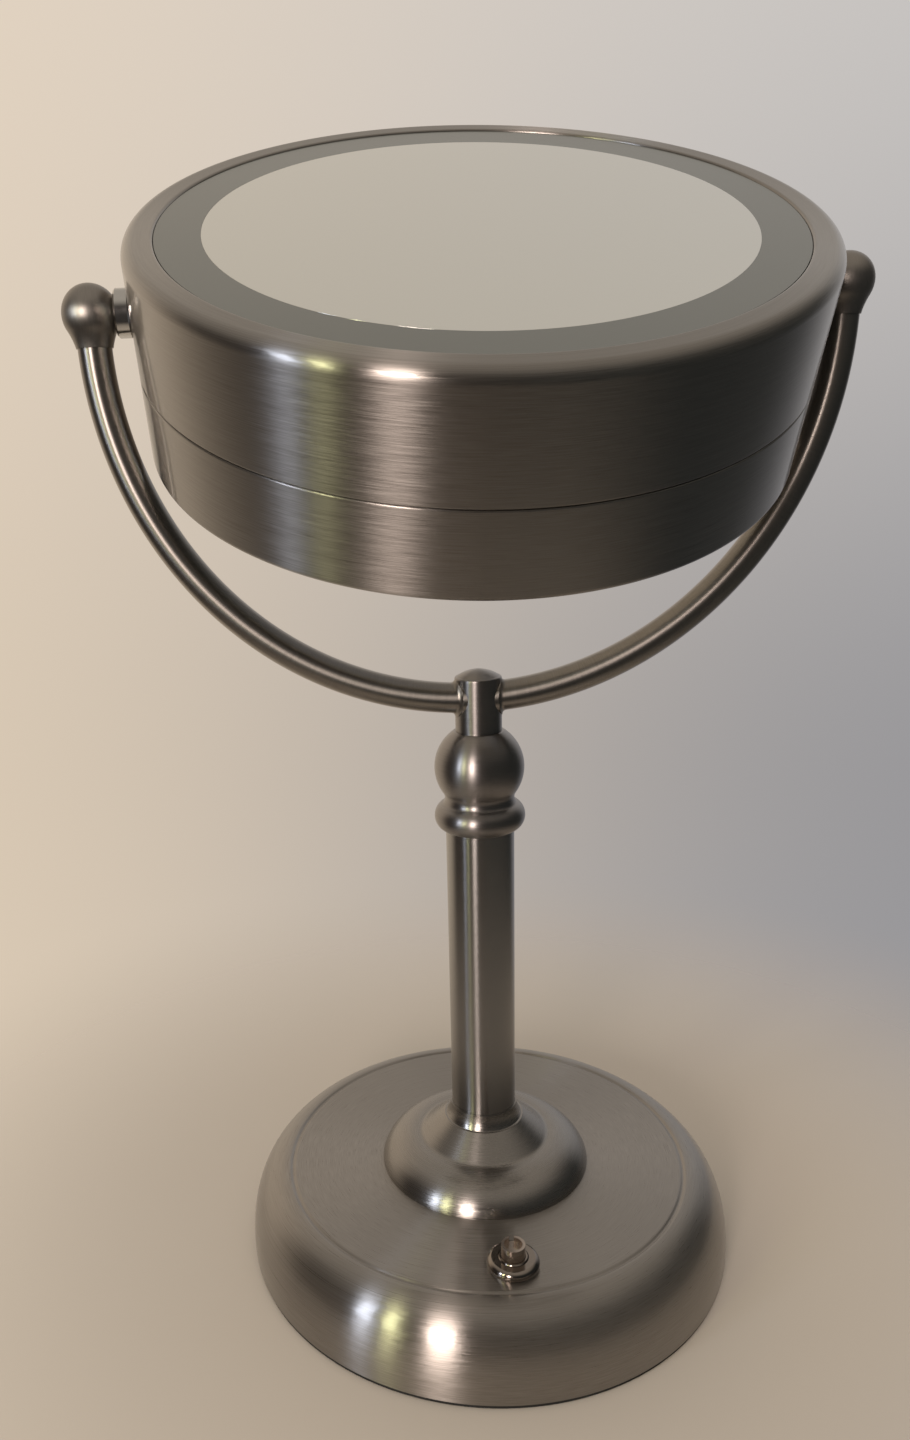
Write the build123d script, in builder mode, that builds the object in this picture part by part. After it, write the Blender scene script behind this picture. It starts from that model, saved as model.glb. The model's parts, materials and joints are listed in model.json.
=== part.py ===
# Round two-sided make-up mirror with a ring light on each side, carried in a tube yoke on a column
# and a weighted, battery powered base.
# Millimetres. +Z is up, -Y is the front with the switch, X is the axis that the head turns about.
# The origin is the centre of the base on the table.
from build123d import *
import os
from math import acos, atan2, cos, degrees, hypot, radians, sin, sqrt

os.makedirs("parts", exist_ok=True)

# ---- base: spun shell ----
base_radius = 97.5
base_height = 33.4
base_roll_width = 16.5
base_wall_height = 6.0
base_sheet = 1.2
groove_width = 1.6
groove_depth = 0.6

# ---- base: rubber ring, bottom plate and ballast ----
ring_height = 1.6
ring_setback = 0.5
ring_flange_width = 9.0
ring_flange_height = 1.9
ring_lip_height = 5.0
plate_setback = 2.0
plate_thickness = 2.0
plate_rim_height = 3.0
plate_rim_wall = 1.6
weight_setback = 2.0
weight_gap = 1.7
weight_chamfer = 2.0
post_spacing_x = 104.0
post_spacing_y = 72.0
post_radius = 4.5
screw_radius = 1.5
screw_head_radius = 2.8
screw_head_height = 2.0
screw_grip = 6.0
screw_reach = 7.0

# ---- base: battery bay ----
cell_radius = 7.1
cell_length = 49.4
cell_nub_radius = 2.7
cell_nub_length = 1.0
cell_count = 4
cell_play = 0.4
bay_end_space = 2.8
bay_front = 18.0
bay_wall = 1.6
contact_thickness = 0.4
contact_height = 9.0
contact_play = 0.05
door_overlap = 2.0
door_slide = 6.0
door_clearance = 0.3
door_roof = 1.5
tongue_length = 8.0
tongue_reach = 1.2
tongue_thickness = 1.0
tongue_inset = 10.0
tongue_play = 0.1
grip_count = 5
grip_spacing = 2.4
grip_width = 1.0
grip_length = 22.0
grip_depth = 0.6

# ---- switch ----
switch_setback = 13.4
switch_bush_radius = 5.5
switch_bush_recess = 0.9
switch_nut_radius = 9.5
switch_nut_foot = 9.0
switch_nut_flat = 7.9
switch_nut_height = 3.8
switch_nut_bulge = 1.7
switch_collar_radius = 7.5
switch_collar_height = 2.0
switch_body_radius = 6.8
switch_body_height = 17.0
plunger_radius = 4.35
plunger_height = 9.2
plunger_length = 20.0
plunger_dish_radius = 3.3
plunger_dish_depth = 2.4
plunger_notch = 1.8
plunger_travel = 2.5
plunger_end_gap = 0.5
terminal_width = 2.0
terminal_thickness = 0.6
terminal_spacing = 6.0

# ---- column ----
flange_foot_radius = 42.0
flange_foot_edge = 0.8
flange_bulge_radius = 37.4
flange_bulge_height = 7.7
flange_shoulder_radius = 25.5
flange_shoulder_height = 11.4
flange_step_radius = 15.8
flange_step_height = 20.4
flange_height = 26.6
flange_lip = 0.7
flange_cove_bulge = 0.35
flange_socket = 6.0
flange_boss_radius = 11.0
flange_foot_width = 5.0
flange_hollow_height = 5.6
column_radius = 12.7
column_wall = 1.2
column_length = 127.0
rod_radius = 5.0
rod_bore = 3.4
rod_thread_depth = 8.0
rod_tail = 3.0
rod_nut_flats = 15.0
rod_nut_height = 6.0
rod_washer_radius = 11.0
rod_washer_height = 1.5

# ---- collar and yoke ----
bead_radius = 16.75
bead_depth = 4.55
bead_half_height = 5.1
bead_overhang = 2.7
neck_radius = 13.0
neck_flare = 0.7
finial_radius = 16.4
finial_height = 22.3
hub_radius = 8.4
hub_height = 20.0
hub_dome = 1.6
hub_edge = 0.5
hub_bore = 2.9
hub_cross_bore = 3.5
yoke_bottom_rise = 12.2
yoke_straight = 9.4
yoke_tube_radius = 5.45
yoke_tube_bore = 4.1

# ---- pivots ----
ball_radius = 9.1
ball_flat = 7.9
ball_flat_radius = 7.0
ball_skirt_length = 10.6
ball_skirt_lip = 0.7
ball_socket_depth = 6.0
ball_bore = 3.5
spacer_radius = 7.3
spacer_length = 5.0
spacer_chamfer = 0.6
stud_radius = 4.0
stud_bore = 2.3
stud_in_ball = 4.5
stud_tail = 1.2
boss_radius = 9.0
boss_length = 10.0
friction_washer_radius = 6.9
friction_washer_thickness = 1.2
pivot_nut_flats = 11.6
pivot_nut_height = 4.6

# ---- head ----
head_radius = 108.0
head_front = 23.3
head_rear = 41.7
head_seam = 13.3
head_tilt = 26.5
head_sheet = 1.0
front_edge_radius = 4.2
rear_edge_radius = 1.6
bezel_width = 10.0
bezel_lip_depth = 3.0
bezel_lip_round = 0.8
seam_gap = 0.3
light_band = 14.3
glass_thickness = 3.0
concave_radius = 600.0
diffuser_overlap = 5.0
diffuser_gap = 0.2
tray_gap = 0.2
tray_wall = 2.4
tray_ledge = 2.0
tray_ledge_height = 2.5
tray_floor = 1.5
tray_inner_wall = 2.0
tray_opening_radius = 18.0
support_radius = 42.0
support_wall = 2.0
led_depth = 6.8
led_board_thickness = 1.6
led_board_setback = 2.3
led_board_width = 11.0
led_count = 24
led_length = 3.5
led_width = 2.8
led_height = 0.8
tray_post_radius = 4.6
tray_post_ring_radius = 64.0
tray_post_count = 4
tray_screw_grip = 5.0
tray_screw_reach = 9.0

# ---- leads ----
lead_radius = 1.3
lead_floor_gap = 2.7
lead_bend = 6.0
lead_pivot_bend = 5.0
lead_end_gap = 0.3
battery_lead_side = 20.0
head_lead_offset = 1.4
head_lead_reach = 7.0
head_lead_angle = 23.0
head_lead_bend = 4.0
lead_hole_play = 0.7

# ---- clearances ----
seat_gap = 0.05
running_gap = 0.05
hole_gap = 0.3
spacer_gap = 0.1

# ---- places that follow from the sizes ----
roll_start = base_radius - base_roll_width
groove_start = roll_start - groove_width
groove_middle = roll_start - groove_width / 2
shell_inner = base_radius - base_sheet
plate_radius = shell_inner - plate_setback
plate_bottom = ring_flange_height
plate_top = plate_bottom + plate_thickness
ring_flange_inner = base_radius - ring_setback - ring_flange_width
cell_pitch = 2 * (cell_radius + cell_play)
bay_width = cell_count * cell_pitch
bay_length = cell_length + cell_nub_length + 2 * bay_end_space
bay_middle = bay_front + bay_length / 2
bay_ceiling = plate_top + cell_pitch
weight_radius = roll_start - weight_setback
weight_top = base_height - base_sheet
weight_bottom = bay_ceiling + bay_wall + weight_gap
weight_thickness = weight_top - weight_bottom
cell_level = plate_top + cell_play + cell_radius
switch_distance = groove_start - switch_setback
switch_floor = base_height - base_sheet - switch_collar_height - switch_body_height
lead_level = plate_top + lead_floor_gap + lead_radius
terminal_length = switch_floor - lead_level - lead_radius
flange_top = base_height + flange_height
column_bottom = flange_top - flange_socket
column_top = column_bottom + column_length
collar_bottom = column_top - bead_overhang
bead_level = collar_bottom + bead_half_height
finial_level = collar_bottom + finial_height
collar_top = finial_level + sqrt(finial_radius**2 - (hub_radius + hub_edge)**2)
bezel_inner_radius = head_radius - bezel_width
mirror_radius = bezel_inner_radius - light_band
diffuser_radius = bezel_inner_radius + diffuser_overlap
tray_radius = head_radius - head_sheet - tray_gap
led_board_inner = mirror_radius + led_board_setback
led_board_outer = led_board_inner + led_board_width
led_board_middle = led_board_inner + led_board_width / 2
spacer_start = head_radius + spacer_gap
ball_seat = spacer_start + spacer_length
yoke_radius = ball_seat + ball_flat
yoke_bottom = collar_top + yoke_bottom_rise
yoke_centre = yoke_bottom + yoke_radius
pivot_height = yoke_centre + yoke_straight
rod_nut_top = weight_bottom - rod_washer_height
rod_bottom = rod_nut_top - rod_nut_height - rod_tail
rod_top = collar_top + rod_thread_depth
boss_end = tray_radius - tray_wall - boss_length
nut_start = boss_end - friction_washer_thickness - seat_gap
stud_end = nut_start - pivot_nut_height - stud_tail
front_depth = head_front + head_seam
rear_depth = head_rear - head_seam
glass_seat = bezel_lip_depth + glass_thickness
floor_depth = glass_seat + led_depth
lead_rise_x = led_board_middle * cos(radians(head_lead_angle))
lead_rise_y = led_board_middle * sin(radians(head_lead_angle))

head = Plane(
    origin=(0, 0, pivot_height),
    x_dir=(1, 0, 0),
    z_dir=(0, -sin(radians(head_tilt)), cos(radians(head_tilt))),
)
front_face = head.offset(head_front)
rear_face = Plane(origin=head.offset(-head_rear).origin, x_dir=head.x_dir, z_dir=-head.z_dir)


def section_of(plane):
    """The plane through a turned piece's axis: x is the radius, y is the height along the axis."""
    return Plane(origin=plane.origin, x_dir=plane.x_dir, z_dir=-plane.y_dir)


def axis_of(plane):
    return Axis(plane.origin, plane.z_dir)


def ring_area(inner, outer, low, high):
    """One rectangle of a turned section, between two radii and two heights."""
    with Locations(((inner + outer) / 2, (low + high) / 2)):
        Rectangle(outer - inner, high - low)


def save(name, part):
    part.label = name
    export_step(part, f"parts/{name}.step")


# ---- base shell: flat top, pressed groove, rolled shoulder and straight wall ----
with BuildPart() as base_shell:
    with BuildSketch(Plane.XZ):
        with BuildLine():
            top = Line((rod_radius + hole_gap, base_height), (groove_start, base_height))
            ThreePointArc(top @ 1, (groove_middle, base_height - groove_depth), (roll_start, base_height))
            EllipticalCenterArc(
                (roll_start, base_wall_height),
                base_radius - roll_start,
                base_height - base_wall_height,
                arc_size=90,
            )
            Polyline(
                (base_radius, base_wall_height),
                (base_radius, ring_height),
                (shell_inner, ring_height),
                (shell_inner, base_wall_height),
            )
            EllipticalCenterArc(
                (roll_start, base_wall_height),
                shell_inner - roll_start,
                base_height - base_sheet - base_wall_height,
                arc_size=90,
            )
            Polyline(
                (roll_start, base_height - base_sheet),
                (rod_radius + hole_gap, base_height - base_sheet),
                top @ 0,
            )
        make_face()
    revolve(axis=Axis.Z)
    with Locations((0, -switch_distance, base_height)):
        Hole(switch_bush_radius + seat_gap)
save("base_shell", base_shell.part)

# ---- rubber ring: carries the shell on its ledge and the plate on its flange ----
with BuildPart() as base_ring:
    with BuildSketch(Plane.XZ):
        with BuildLine():
            Polyline(
                (ring_flange_inner, 0),
                (base_radius - ring_setback, 0),
                (base_radius - ring_setback, ring_height),
                (shell_inner - seat_gap, ring_height),
                (shell_inner - seat_gap, ring_lip_height),
                (plate_radius + seat_gap, ring_lip_height),
                (plate_radius + seat_gap, plate_bottom),
                (ring_flange_inner, plate_bottom),
                close=True,
            )
        make_face()
    revolve(axis=Axis.Z)
save("base_ring", base_ring.part)

# ---- bottom plate: moulded disc with a rim, four screw posts and the battery bay ----
door_width = bay_width + 2 * door_overlap
door_length = bay_length + 2 * door_overlap
recess_length = door_length + door_slide + 2 * door_clearance
recess_middle = bay_front - door_overlap - door_clearance + recess_length / 2
tongue_places = (
    bay_middle - door_length / 2 + tongue_inset,
    bay_middle + door_length / 2 - tongue_inset - tongue_length,
)
tongue_level = plate_bottom + (plate_thickness - tongue_thickness) / 2

with BuildPart() as base_plate:
    with BuildSketch(Plane.XY.offset(plate_bottom)):
        Circle(plate_radius)
    extrude(amount=plate_thickness)
    with BuildSketch(Plane.XY.offset(plate_top)):
        Circle(plate_radius)
        Circle(plate_radius - plate_rim_wall, mode=Mode.SUBTRACT)
    extrude(amount=plate_rim_height)
    with BuildSketch(Plane.XY.offset(plate_top)):
        with Locations((0, recess_middle)):
            Rectangle(door_width + 2 * bay_wall, recess_length + 2 * bay_wall)
        Circle(plate_radius, mode=Mode.INTERSECT)
    extrude(amount=door_roof)
    with BuildSketch(Plane.XY.offset(plate_top)):
        with Locations((0, bay_middle)):
            Rectangle(bay_width + 2 * bay_wall, bay_length + 2 * bay_wall)
    extrude(amount=bay_ceiling + bay_wall - plate_top)
    with BuildSketch(Plane.XY.offset(plate_bottom)):
        with GridLocations(post_spacing_x, post_spacing_y, 2, 2):
            Circle(post_radius)
    extrude(amount=weight_bottom - plate_bottom)
    with BuildSketch(Plane.XY.offset(plate_bottom)):
        with Locations((0, recess_middle)):
            Rectangle(door_width + 2 * door_clearance, recess_length)
    extrude(amount=plate_thickness, mode=Mode.SUBTRACT)
    with BuildSketch(Plane.XY.offset(plate_top)):
        with Locations((0, bay_middle)):
            Rectangle(bay_width, bay_length)
    extrude(amount=bay_ceiling - plate_top, mode=Mode.SUBTRACT)
    # grooves that the door's tongues slide in, each open downwards at its far end
    notch_width = door_width + 2 * (tongue_reach + door_clearance)
    notch_length = tongue_length + 2 * door_clearance
    for place in tongue_places:
        with BuildSketch(Plane.XY.offset(tongue_level - tongue_play)):
            with Locations((0, place + (tongue_length + door_slide) / 2)):
                Rectangle(notch_width, notch_length + door_slide)
        extrude(amount=tongue_thickness + 2 * tongue_play, mode=Mode.SUBTRACT)
        with BuildSketch(Plane.XY.offset(plate_bottom)):
            with Locations((0, place + door_slide + tongue_length / 2)):
                Rectangle(notch_width, notch_length)
        extrude(amount=tongue_level - plate_bottom, mode=Mode.SUBTRACT)
    with BuildSketch(Plane.XY.offset(plate_bottom)):
        with GridLocations(post_spacing_x, post_spacing_y, 2, 2):
            Circle(screw_radius + hole_gap)
    extrude(amount=weight_bottom - plate_bottom, mode=Mode.SUBTRACT)
    with BuildSketch(Plane.XY.offset(plate_bottom)):
        with GridLocations(post_spacing_x, post_spacing_y, 2, 2):
            Circle(screw_head_radius + hole_gap)
    extrude(amount=weight_bottom - screw_grip - plate_bottom, mode=Mode.SUBTRACT)
save("base_plate", base_plate.part)

# ---- battery door: flush cover with four tongues and a ribbed thumb grip ----
with BuildPart() as battery_door:
    with BuildSketch(Plane.XY.offset(plate_bottom)):
        with Locations((0, bay_middle)):
            Rectangle(door_width, door_length)
    extrude(amount=plate_thickness - seat_gap)
    for place in tongue_places:
        with BuildSketch(Plane.XY.offset(tongue_level)):
            with Locations((0, place + tongue_length / 2)):
                Rectangle(door_width + 2 * tongue_reach, tongue_length)
        extrude(amount=tongue_thickness)
    with BuildSketch(Plane.XY.offset(plate_bottom)):
        with Locations((0, bay_middle + door_length / 4)):
            with GridLocations(0, grip_spacing, 1, grip_count):
                Rectangle(grip_length, grip_width)
    extrude(amount=grip_depth, mode=Mode.SUBTRACT)
save("battery_door", battery_door.part)

# ---- battery cells, lying side by side and turned alternately ----
row_start = -(cell_count - 1) / 2 * cell_pitch
cell_end_gap = (bay_length - cell_length - cell_nub_length) / 2

with BuildPart() as battery_cells:
    for index in range(cell_count):
        facing = 1 if index % 2 == 0 else -1
        cell_start = bay_middle - facing * (bay_length / 2 - cell_end_gap)
        cell_plane = Plane(
            origin=(row_start + index * cell_pitch, cell_start, cell_level),
            x_dir=(1, 0, 0),
            z_dir=(0, facing, 0),
        )
        with BuildSketch(cell_plane):
            Circle(cell_radius)
        extrude(amount=cell_length)
        with BuildSketch(cell_plane.offset(cell_length)):
            Circle(cell_nub_radius)
        extrude(amount=cell_nub_length)
save("battery_cells", battery_cells.part)

# ---- battery contacts: a strip on each end wall and a cone spring or button for each cell ----
contact_reach = cell_end_gap - contact_thickness - contact_play
with BuildPart() as battery_contacts:
    for end in (-1, 1):
        wall_plane = Plane(
            origin=(0, bay_middle + end * bay_length / 2, cell_level),
            x_dir=(1, 0, 0),
            z_dir=(0, -end, 0),
        )
        pairs = [(0, 1), (2, 3)] if end < 0 else [(0, 0), (1, 2), (3, 3)]
        for first, last in pairs:
            strip_middle = row_start + (first + last) / 2 * cell_pitch
            strip_width = (last - first) * cell_pitch + contact_height
            with BuildSketch(wall_plane):
                with Locations((strip_middle, 0)):
                    Rectangle(strip_width, contact_height)
            extrude(amount=contact_thickness)
        for index in range(cell_count):
            with BuildSketch(wall_plane.offset(contact_thickness)):
                with Locations((row_start + index * cell_pitch, 0)):
                    Circle(cell_nub_radius)
            extrude(amount=contact_reach)
save("battery_contacts", battery_contacts.part)

# ---- ballast: cast iron disc, clear of the switch and bored for the rod and screws ----
with BuildPart() as base_weight:
    with BuildSketch(Plane.XY.offset(weight_bottom)):
        Circle(weight_radius)
        Circle(rod_radius + hole_gap, mode=Mode.SUBTRACT)
        with Locations((0, -switch_distance)):
            Circle(switch_collar_radius + 2 * hole_gap, mode=Mode.SUBTRACT)
    extrude(amount=weight_thickness)
    rims = base_weight.edges().filter_by(GeomType.CIRCLE).group_by(SortBy.RADIUS)[-1]
    chamfer(rims, weight_chamfer)
    with BuildSketch(Plane.XY.offset(weight_bottom)):
        with GridLocations(post_spacing_x, post_spacing_y, 2, 2):
            Circle(screw_radius + seat_gap)
    extrude(amount=screw_reach + hole_gap, mode=Mode.SUBTRACT)
save("base_weight", base_weight.part)

# ---- screws that hold the bottom plate to the ballast ----
with BuildPart() as base_screws:
    head_level = weight_bottom - screw_grip
    with BuildSketch(Plane.XY.offset(head_level - screw_head_height)):
        with GridLocations(post_spacing_x, post_spacing_y, 2, 2):
            Circle(screw_head_radius)
    extrude(amount=screw_head_height)
    with BuildSketch(Plane.XY.offset(head_level)):
        with GridLocations(post_spacing_x, post_spacing_y, 2, 2):
            Circle(screw_radius)
    extrude(amount=screw_grip + screw_reach)
save("base_screws", base_screws.part)

# ---- switch: threaded body under the top, domed ring nut above it, dished plunger ----
switch_plane = Plane.XY.move(Location((0, -switch_distance, base_height)))
switch_section = section_of(switch_plane)
switch_axis = axis_of(switch_plane)
bush_top = switch_nut_height - switch_bush_recess
plunger_bore = plunger_radius + running_gap
bore_floor = plunger_height - plunger_length - plunger_travel - plunger_end_gap

with BuildPart() as switch_body:
    with BuildSketch(switch_section):
        ring_area(0, switch_bush_radius, -base_sheet, bush_top)
        ring_area(0, switch_collar_radius, -base_sheet - switch_collar_height, -base_sheet)
        ring_area(0, switch_body_radius, switch_floor - base_height, -base_sheet - switch_collar_height)
    revolve(axis=switch_axis)
    with BuildSketch(Plane.XY.offset(base_height + bush_top)):
        with Locations((0, -switch_distance)):
            Circle(plunger_bore)
    extrude(amount=bore_floor - bush_top, mode=Mode.SUBTRACT)
    with BuildSketch(Plane.XY.offset(switch_floor)):
        with Locations((0, -switch_distance)):
            with GridLocations(0, terminal_spacing, 1, 2):
                Rectangle(terminal_width, terminal_thickness)
    extrude(amount=-terminal_length)
save("switch_body", switch_body.part)

with BuildPart() as switch_nut:
    with BuildSketch(switch_section):
        with BuildLine():
            Polyline(
                (switch_nut_flat, switch_nut_height),
                (switch_bush_radius + seat_gap, switch_nut_height),
                (switch_bush_radius + seat_gap, 0),
                (switch_nut_foot, 0),
            )
            ThreePointArc(
                (switch_nut_foot, 0),
                (switch_nut_radius, switch_nut_bulge),
                (switch_nut_flat, switch_nut_height),
            )
        make_face()
    revolve(axis=switch_axis)
save("switch_nut", switch_nut.part)

with BuildPart() as switch_plunger:
    with BuildSketch(Plane.XY.offset(base_height + plunger_height)):
        with Locations((0, -switch_distance)):
            Circle(plunger_radius)
    extrude(amount=-plunger_length)
    with BuildSketch(Plane.XY.offset(base_height + plunger_height)):
        with Locations((0, -switch_distance)):
            Circle(plunger_dish_radius)
        with Locations((0, -switch_distance + plunger_radius)):
            Rectangle(plunger_notch, 2 * plunger_radius)
    extrude(amount=-plunger_dish_depth, mode=Mode.SUBTRACT)
save("switch_plunger", switch_plunger.part)

# ---- column foot: bell flange with a foot ring, rounded shoulder, cone, step and cove ----
with BuildPart() as column_flange:
    with BuildSketch(Plane.XZ):
        with BuildLine():
            cove_top = column_radius + flange_lip
            Line((flange_foot_radius, base_height), (flange_foot_radius, base_height + flange_foot_edge))
            ThreePointArc(
                (flange_foot_radius, base_height + flange_foot_edge),
                (flange_bulge_radius, base_height + flange_bulge_height),
                (flange_shoulder_radius, base_height + flange_shoulder_height),
            )
            Polyline(
                (flange_shoulder_radius, base_height + flange_shoulder_height),
                (flange_step_radius, base_height + flange_step_height),
                (flange_step_radius - flange_lip, base_height + flange_step_height),
            )
            ThreePointArc(
                (flange_step_radius - flange_lip, base_height + flange_step_height),
                (cove_top + flange_cove_bulge, base_height + (flange_step_height + flange_height) / 2),
                (cove_top, flange_top),
            )
            Polyline(
                (cove_top, flange_top),
                (column_radius + seat_gap, flange_top),
                (column_radius + seat_gap, column_bottom),
                (rod_radius + hole_gap, column_bottom),
                (rod_radius + hole_gap, base_height),
                (flange_boss_radius, base_height),
                (flange_boss_radius, base_height + flange_hollow_height),
                (flange_shoulder_radius, base_height + flange_hollow_height),
                (flange_foot_radius - flange_foot_width, base_height),
                (flange_foot_radius, base_height),
            )
        make_face()
    revolve(axis=Axis.Z)
save("column_flange", column_flange.part)

with BuildPart() as column_tube:
    with BuildSketch(Plane.XY.offset(column_bottom)):
        Circle(column_radius)
        Circle(column_radius - column_wall, mode=Mode.SUBTRACT)
    extrude(amount=column_length)
save("column_tube", column_tube.part)

# ---- hollow tie rod, which clamps base, column, collar and hub together ----
with BuildPart() as tie_rod:
    with BuildSketch(Plane.XY.offset(rod_bottom)):
        Circle(rod_radius)
        Circle(rod_bore, mode=Mode.SUBTRACT)
    extrude(amount=rod_top - rod_bottom)
save("tie_rod", tie_rod.part)

with BuildPart() as rod_washer:
    with BuildSketch(Plane.XY.offset(rod_nut_top)):
        Circle(rod_washer_radius)
        Circle(rod_radius + hole_gap, mode=Mode.SUBTRACT)
    extrude(amount=rod_washer_height)
save("rod_washer", rod_washer.part)

with BuildPart() as rod_nut:
    with BuildSketch(Plane.XY.offset(rod_nut_top)):
        RegularPolygon(rod_nut_flats / 2, 6, major_radius=False)
        Circle(rod_radius + seat_gap, mode=Mode.SUBTRACT)
    extrude(amount=-rod_nut_height)
save("rod_nut", rod_nut.part)

# ---- collar: half-round bead over the tube, necked into a ball ----
bead_centre = bead_radius - bead_depth
bead_lip = column_radius + flange_lip
bead_low = degrees(acos((bead_lip - bead_centre) / bead_depth))
neck_meet = neck_radius + neck_flare
bead_high = degrees(acos((neck_meet - bead_centre) / bead_depth))
bead_top = bead_level + bead_half_height * sin(radians(bead_high))
finial_low = finial_level - sqrt(finial_radius**2 - neck_meet**2)
collar_bore = rod_radius + hole_gap

with BuildPart() as collar_finial:
    with BuildSketch(Plane.XZ):
        with BuildLine():
            bead = EllipticalCenterArc(
                (bead_centre, bead_level),
                bead_depth,
                bead_half_height,
                -bead_low,
                arc_size=bead_low + bead_high,
            )
            neck_level = (bead_top + finial_low) / 2
            neck = ThreePointArc(bead @ 1, (neck_radius, neck_level), (neck_meet, finial_low))
            ball = ThreePointArc(neck @ 1, (finial_radius, finial_level), (hub_radius + hub_edge, collar_top))
            Polyline(
                ball @ 1,
                (collar_bore, collar_top),
                (collar_bore, column_top),
                (column_radius + seat_gap, column_top),
                (column_radius + seat_gap, (bead @ 0).Y),
                bead @ 0,
            )
        make_face()
    revolve(axis=Axis.Z)
save("collar_finial", collar_finial.part)

# ---- hub: domed post, tapped for the rod and cross-bored into the two arms ----
hub_top = collar_top + hub_height
with BuildPart() as yoke_hub:
    with BuildSketch(Plane.XZ):
        with BuildLine():
            rim = Polyline(
                (rod_radius + seat_gap, collar_top),
                (hub_radius, collar_top),
                (hub_radius, hub_top - hub_edge),
                (hub_radius - hub_edge, hub_top),
            )
            dome_edge = hub_radius - hub_edge
            dome = RadiusArc(rim @ 1, (0, hub_top + hub_dome), -(dome_edge**2 + hub_dome**2) / (2 * hub_dome))
            Polyline(
                dome @ 1,
                (0, yoke_bottom),
                (hub_bore, yoke_bottom),
                (hub_bore, rod_top),
                (rod_radius + seat_gap, rod_top),
                (rod_radius + seat_gap, collar_top),
            )
        make_face()
    revolve(axis=Axis.Z)
    with BuildSketch(Plane.YZ.offset(-hub_radius)):
        with Locations((0, yoke_bottom)):
            Circle(hub_cross_bore)
    extrude(amount=2 * hub_radius, mode=Mode.SUBTRACT)
save("yoke_hub", yoke_hub.part)

# ---- yoke arms: a quarter circle and a short straight of tube each ----
arm_top = pivot_height - ball_skirt_length + ball_socket_depth


def yoke_arm(side):
    with BuildPart() as arm:
        with BuildLine(Plane.XZ):
            bend = CenterArc((0, yoke_centre), yoke_radius, 270, side * 90)
            Line(bend @ 1, (side * yoke_radius, arm_top))
        with BuildSketch(Plane.YZ):
            with Locations((0, yoke_bottom)):
                Circle(yoke_tube_radius)
                Circle(yoke_tube_bore, mode=Mode.SUBTRACT)
        sweep()
        with BuildSketch(Plane.XY.offset(collar_top)):
            Circle(hub_radius)
        extrude(amount=hub_height, mode=Mode.SUBTRACT)
    return arm.part


# ---- pivot hardware at one end of the yoke: ball, spacer, hollow stud, friction washer and nut ----
pivot_hole = stud_radius + seat_gap
ball_reach = hypot(ball_flat, ball_flat_radius)
cone_angle = atan2(ball_flat_radius, ball_flat) + acos(ball_radius / ball_reach)
skirt_radius = yoke_tube_radius + ball_skirt_lip
skirt_reach = hypot(ball_skirt_length, skirt_radius)
skirt_angle = atan2(skirt_radius, ball_skirt_length) + acos(ball_radius / skirt_reach)


def pivot_ball(side):
    outward = Plane(origin=(side * yoke_radius, 0, pivot_height), x_dir=(0, 0, 1), z_dir=(-side, 0, 0))
    downward = Plane(origin=(side * yoke_radius, 0, pivot_height), x_dir=(1, 0, 0), z_dir=(0, 0, -1))
    with BuildPart() as ball:
        # conical skirt, trimmed level with the ball's flat
        with BuildSketch(section_of(downward)):
            with BuildLine():
                Polyline(
                    (0, 0),
                    (ball_radius * sin(skirt_angle), ball_radius * cos(skirt_angle)),
                    (skirt_radius, ball_skirt_length),
                    (0, ball_skirt_length),
                    close=True,
                )
            make_face()
        revolve(axis=axis_of(downward))
        with BuildSketch(outward.offset(ball_flat)):
            Circle(2 * ball_radius)
        extrude(amount=ball_radius, mode=Mode.SUBTRACT)
        with BuildSketch(section_of(outward)):
            with BuildLine():
                cap = ThreePointArc(
                    (0, -ball_radius),
                    (ball_radius, 0),
                    (ball_radius * sin(cone_angle), ball_radius * cos(cone_angle)),
                )
                Polyline(cap @ 1, (ball_flat_radius, ball_flat), (0, ball_flat), cap @ 0)
            make_face()
        revolve(axis=axis_of(outward))
        with BuildSketch(downward.offset(ball_skirt_length - ball_socket_depth)):
            Circle(yoke_tube_radius + seat_gap)
        extrude(amount=ball_socket_depth, mode=Mode.SUBTRACT)
        with BuildSketch(downward):
            Circle(ball_bore)
        extrude(amount=ball_skirt_length - ball_socket_depth, mode=Mode.SUBTRACT)
        with BuildSketch(outward):
            Circle(pivot_hole)
        extrude(amount=ball_flat, mode=Mode.SUBTRACT)
    return ball.part


def pivot_plane(side, start):
    """A plane across the pivot axis, at a distance from the middle of the head and facing the ball."""
    return Plane(origin=(side * start, 0, pivot_height), x_dir=(0, 0, 1), z_dir=(side, 0, 0))


def pivot_ring(side, inner, outer, start, end):
    """A plain ring on the pivot axis, between two distances from the middle of the head."""
    with BuildPart() as ring:
        with BuildSketch(pivot_plane(side, start)):
            Circle(outer)
            Circle(inner, mode=Mode.SUBTRACT)
        extrude(amount=end - start)
    return ring.part


def pivot_spacer(side):
    with BuildPart() as spacer:
        add(pivot_ring(side, pivot_hole, spacer_radius, spacer_start, ball_seat))
        rims = spacer.edges().filter_by(GeomType.CIRCLE).group_by(SortBy.RADIUS)[-1]
        chamfer(rims, spacer_chamfer)
    return spacer.part


def pivot_nut(side):
    with BuildPart() as nut:
        with BuildSketch(pivot_plane(side, nut_start - pivot_nut_height)):
            RegularPolygon(pivot_nut_flats / 2, 6, major_radius=False)
            Circle(pivot_hole, mode=Mode.SUBTRACT)
        extrude(amount=pivot_nut_height)
    return nut.part


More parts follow.
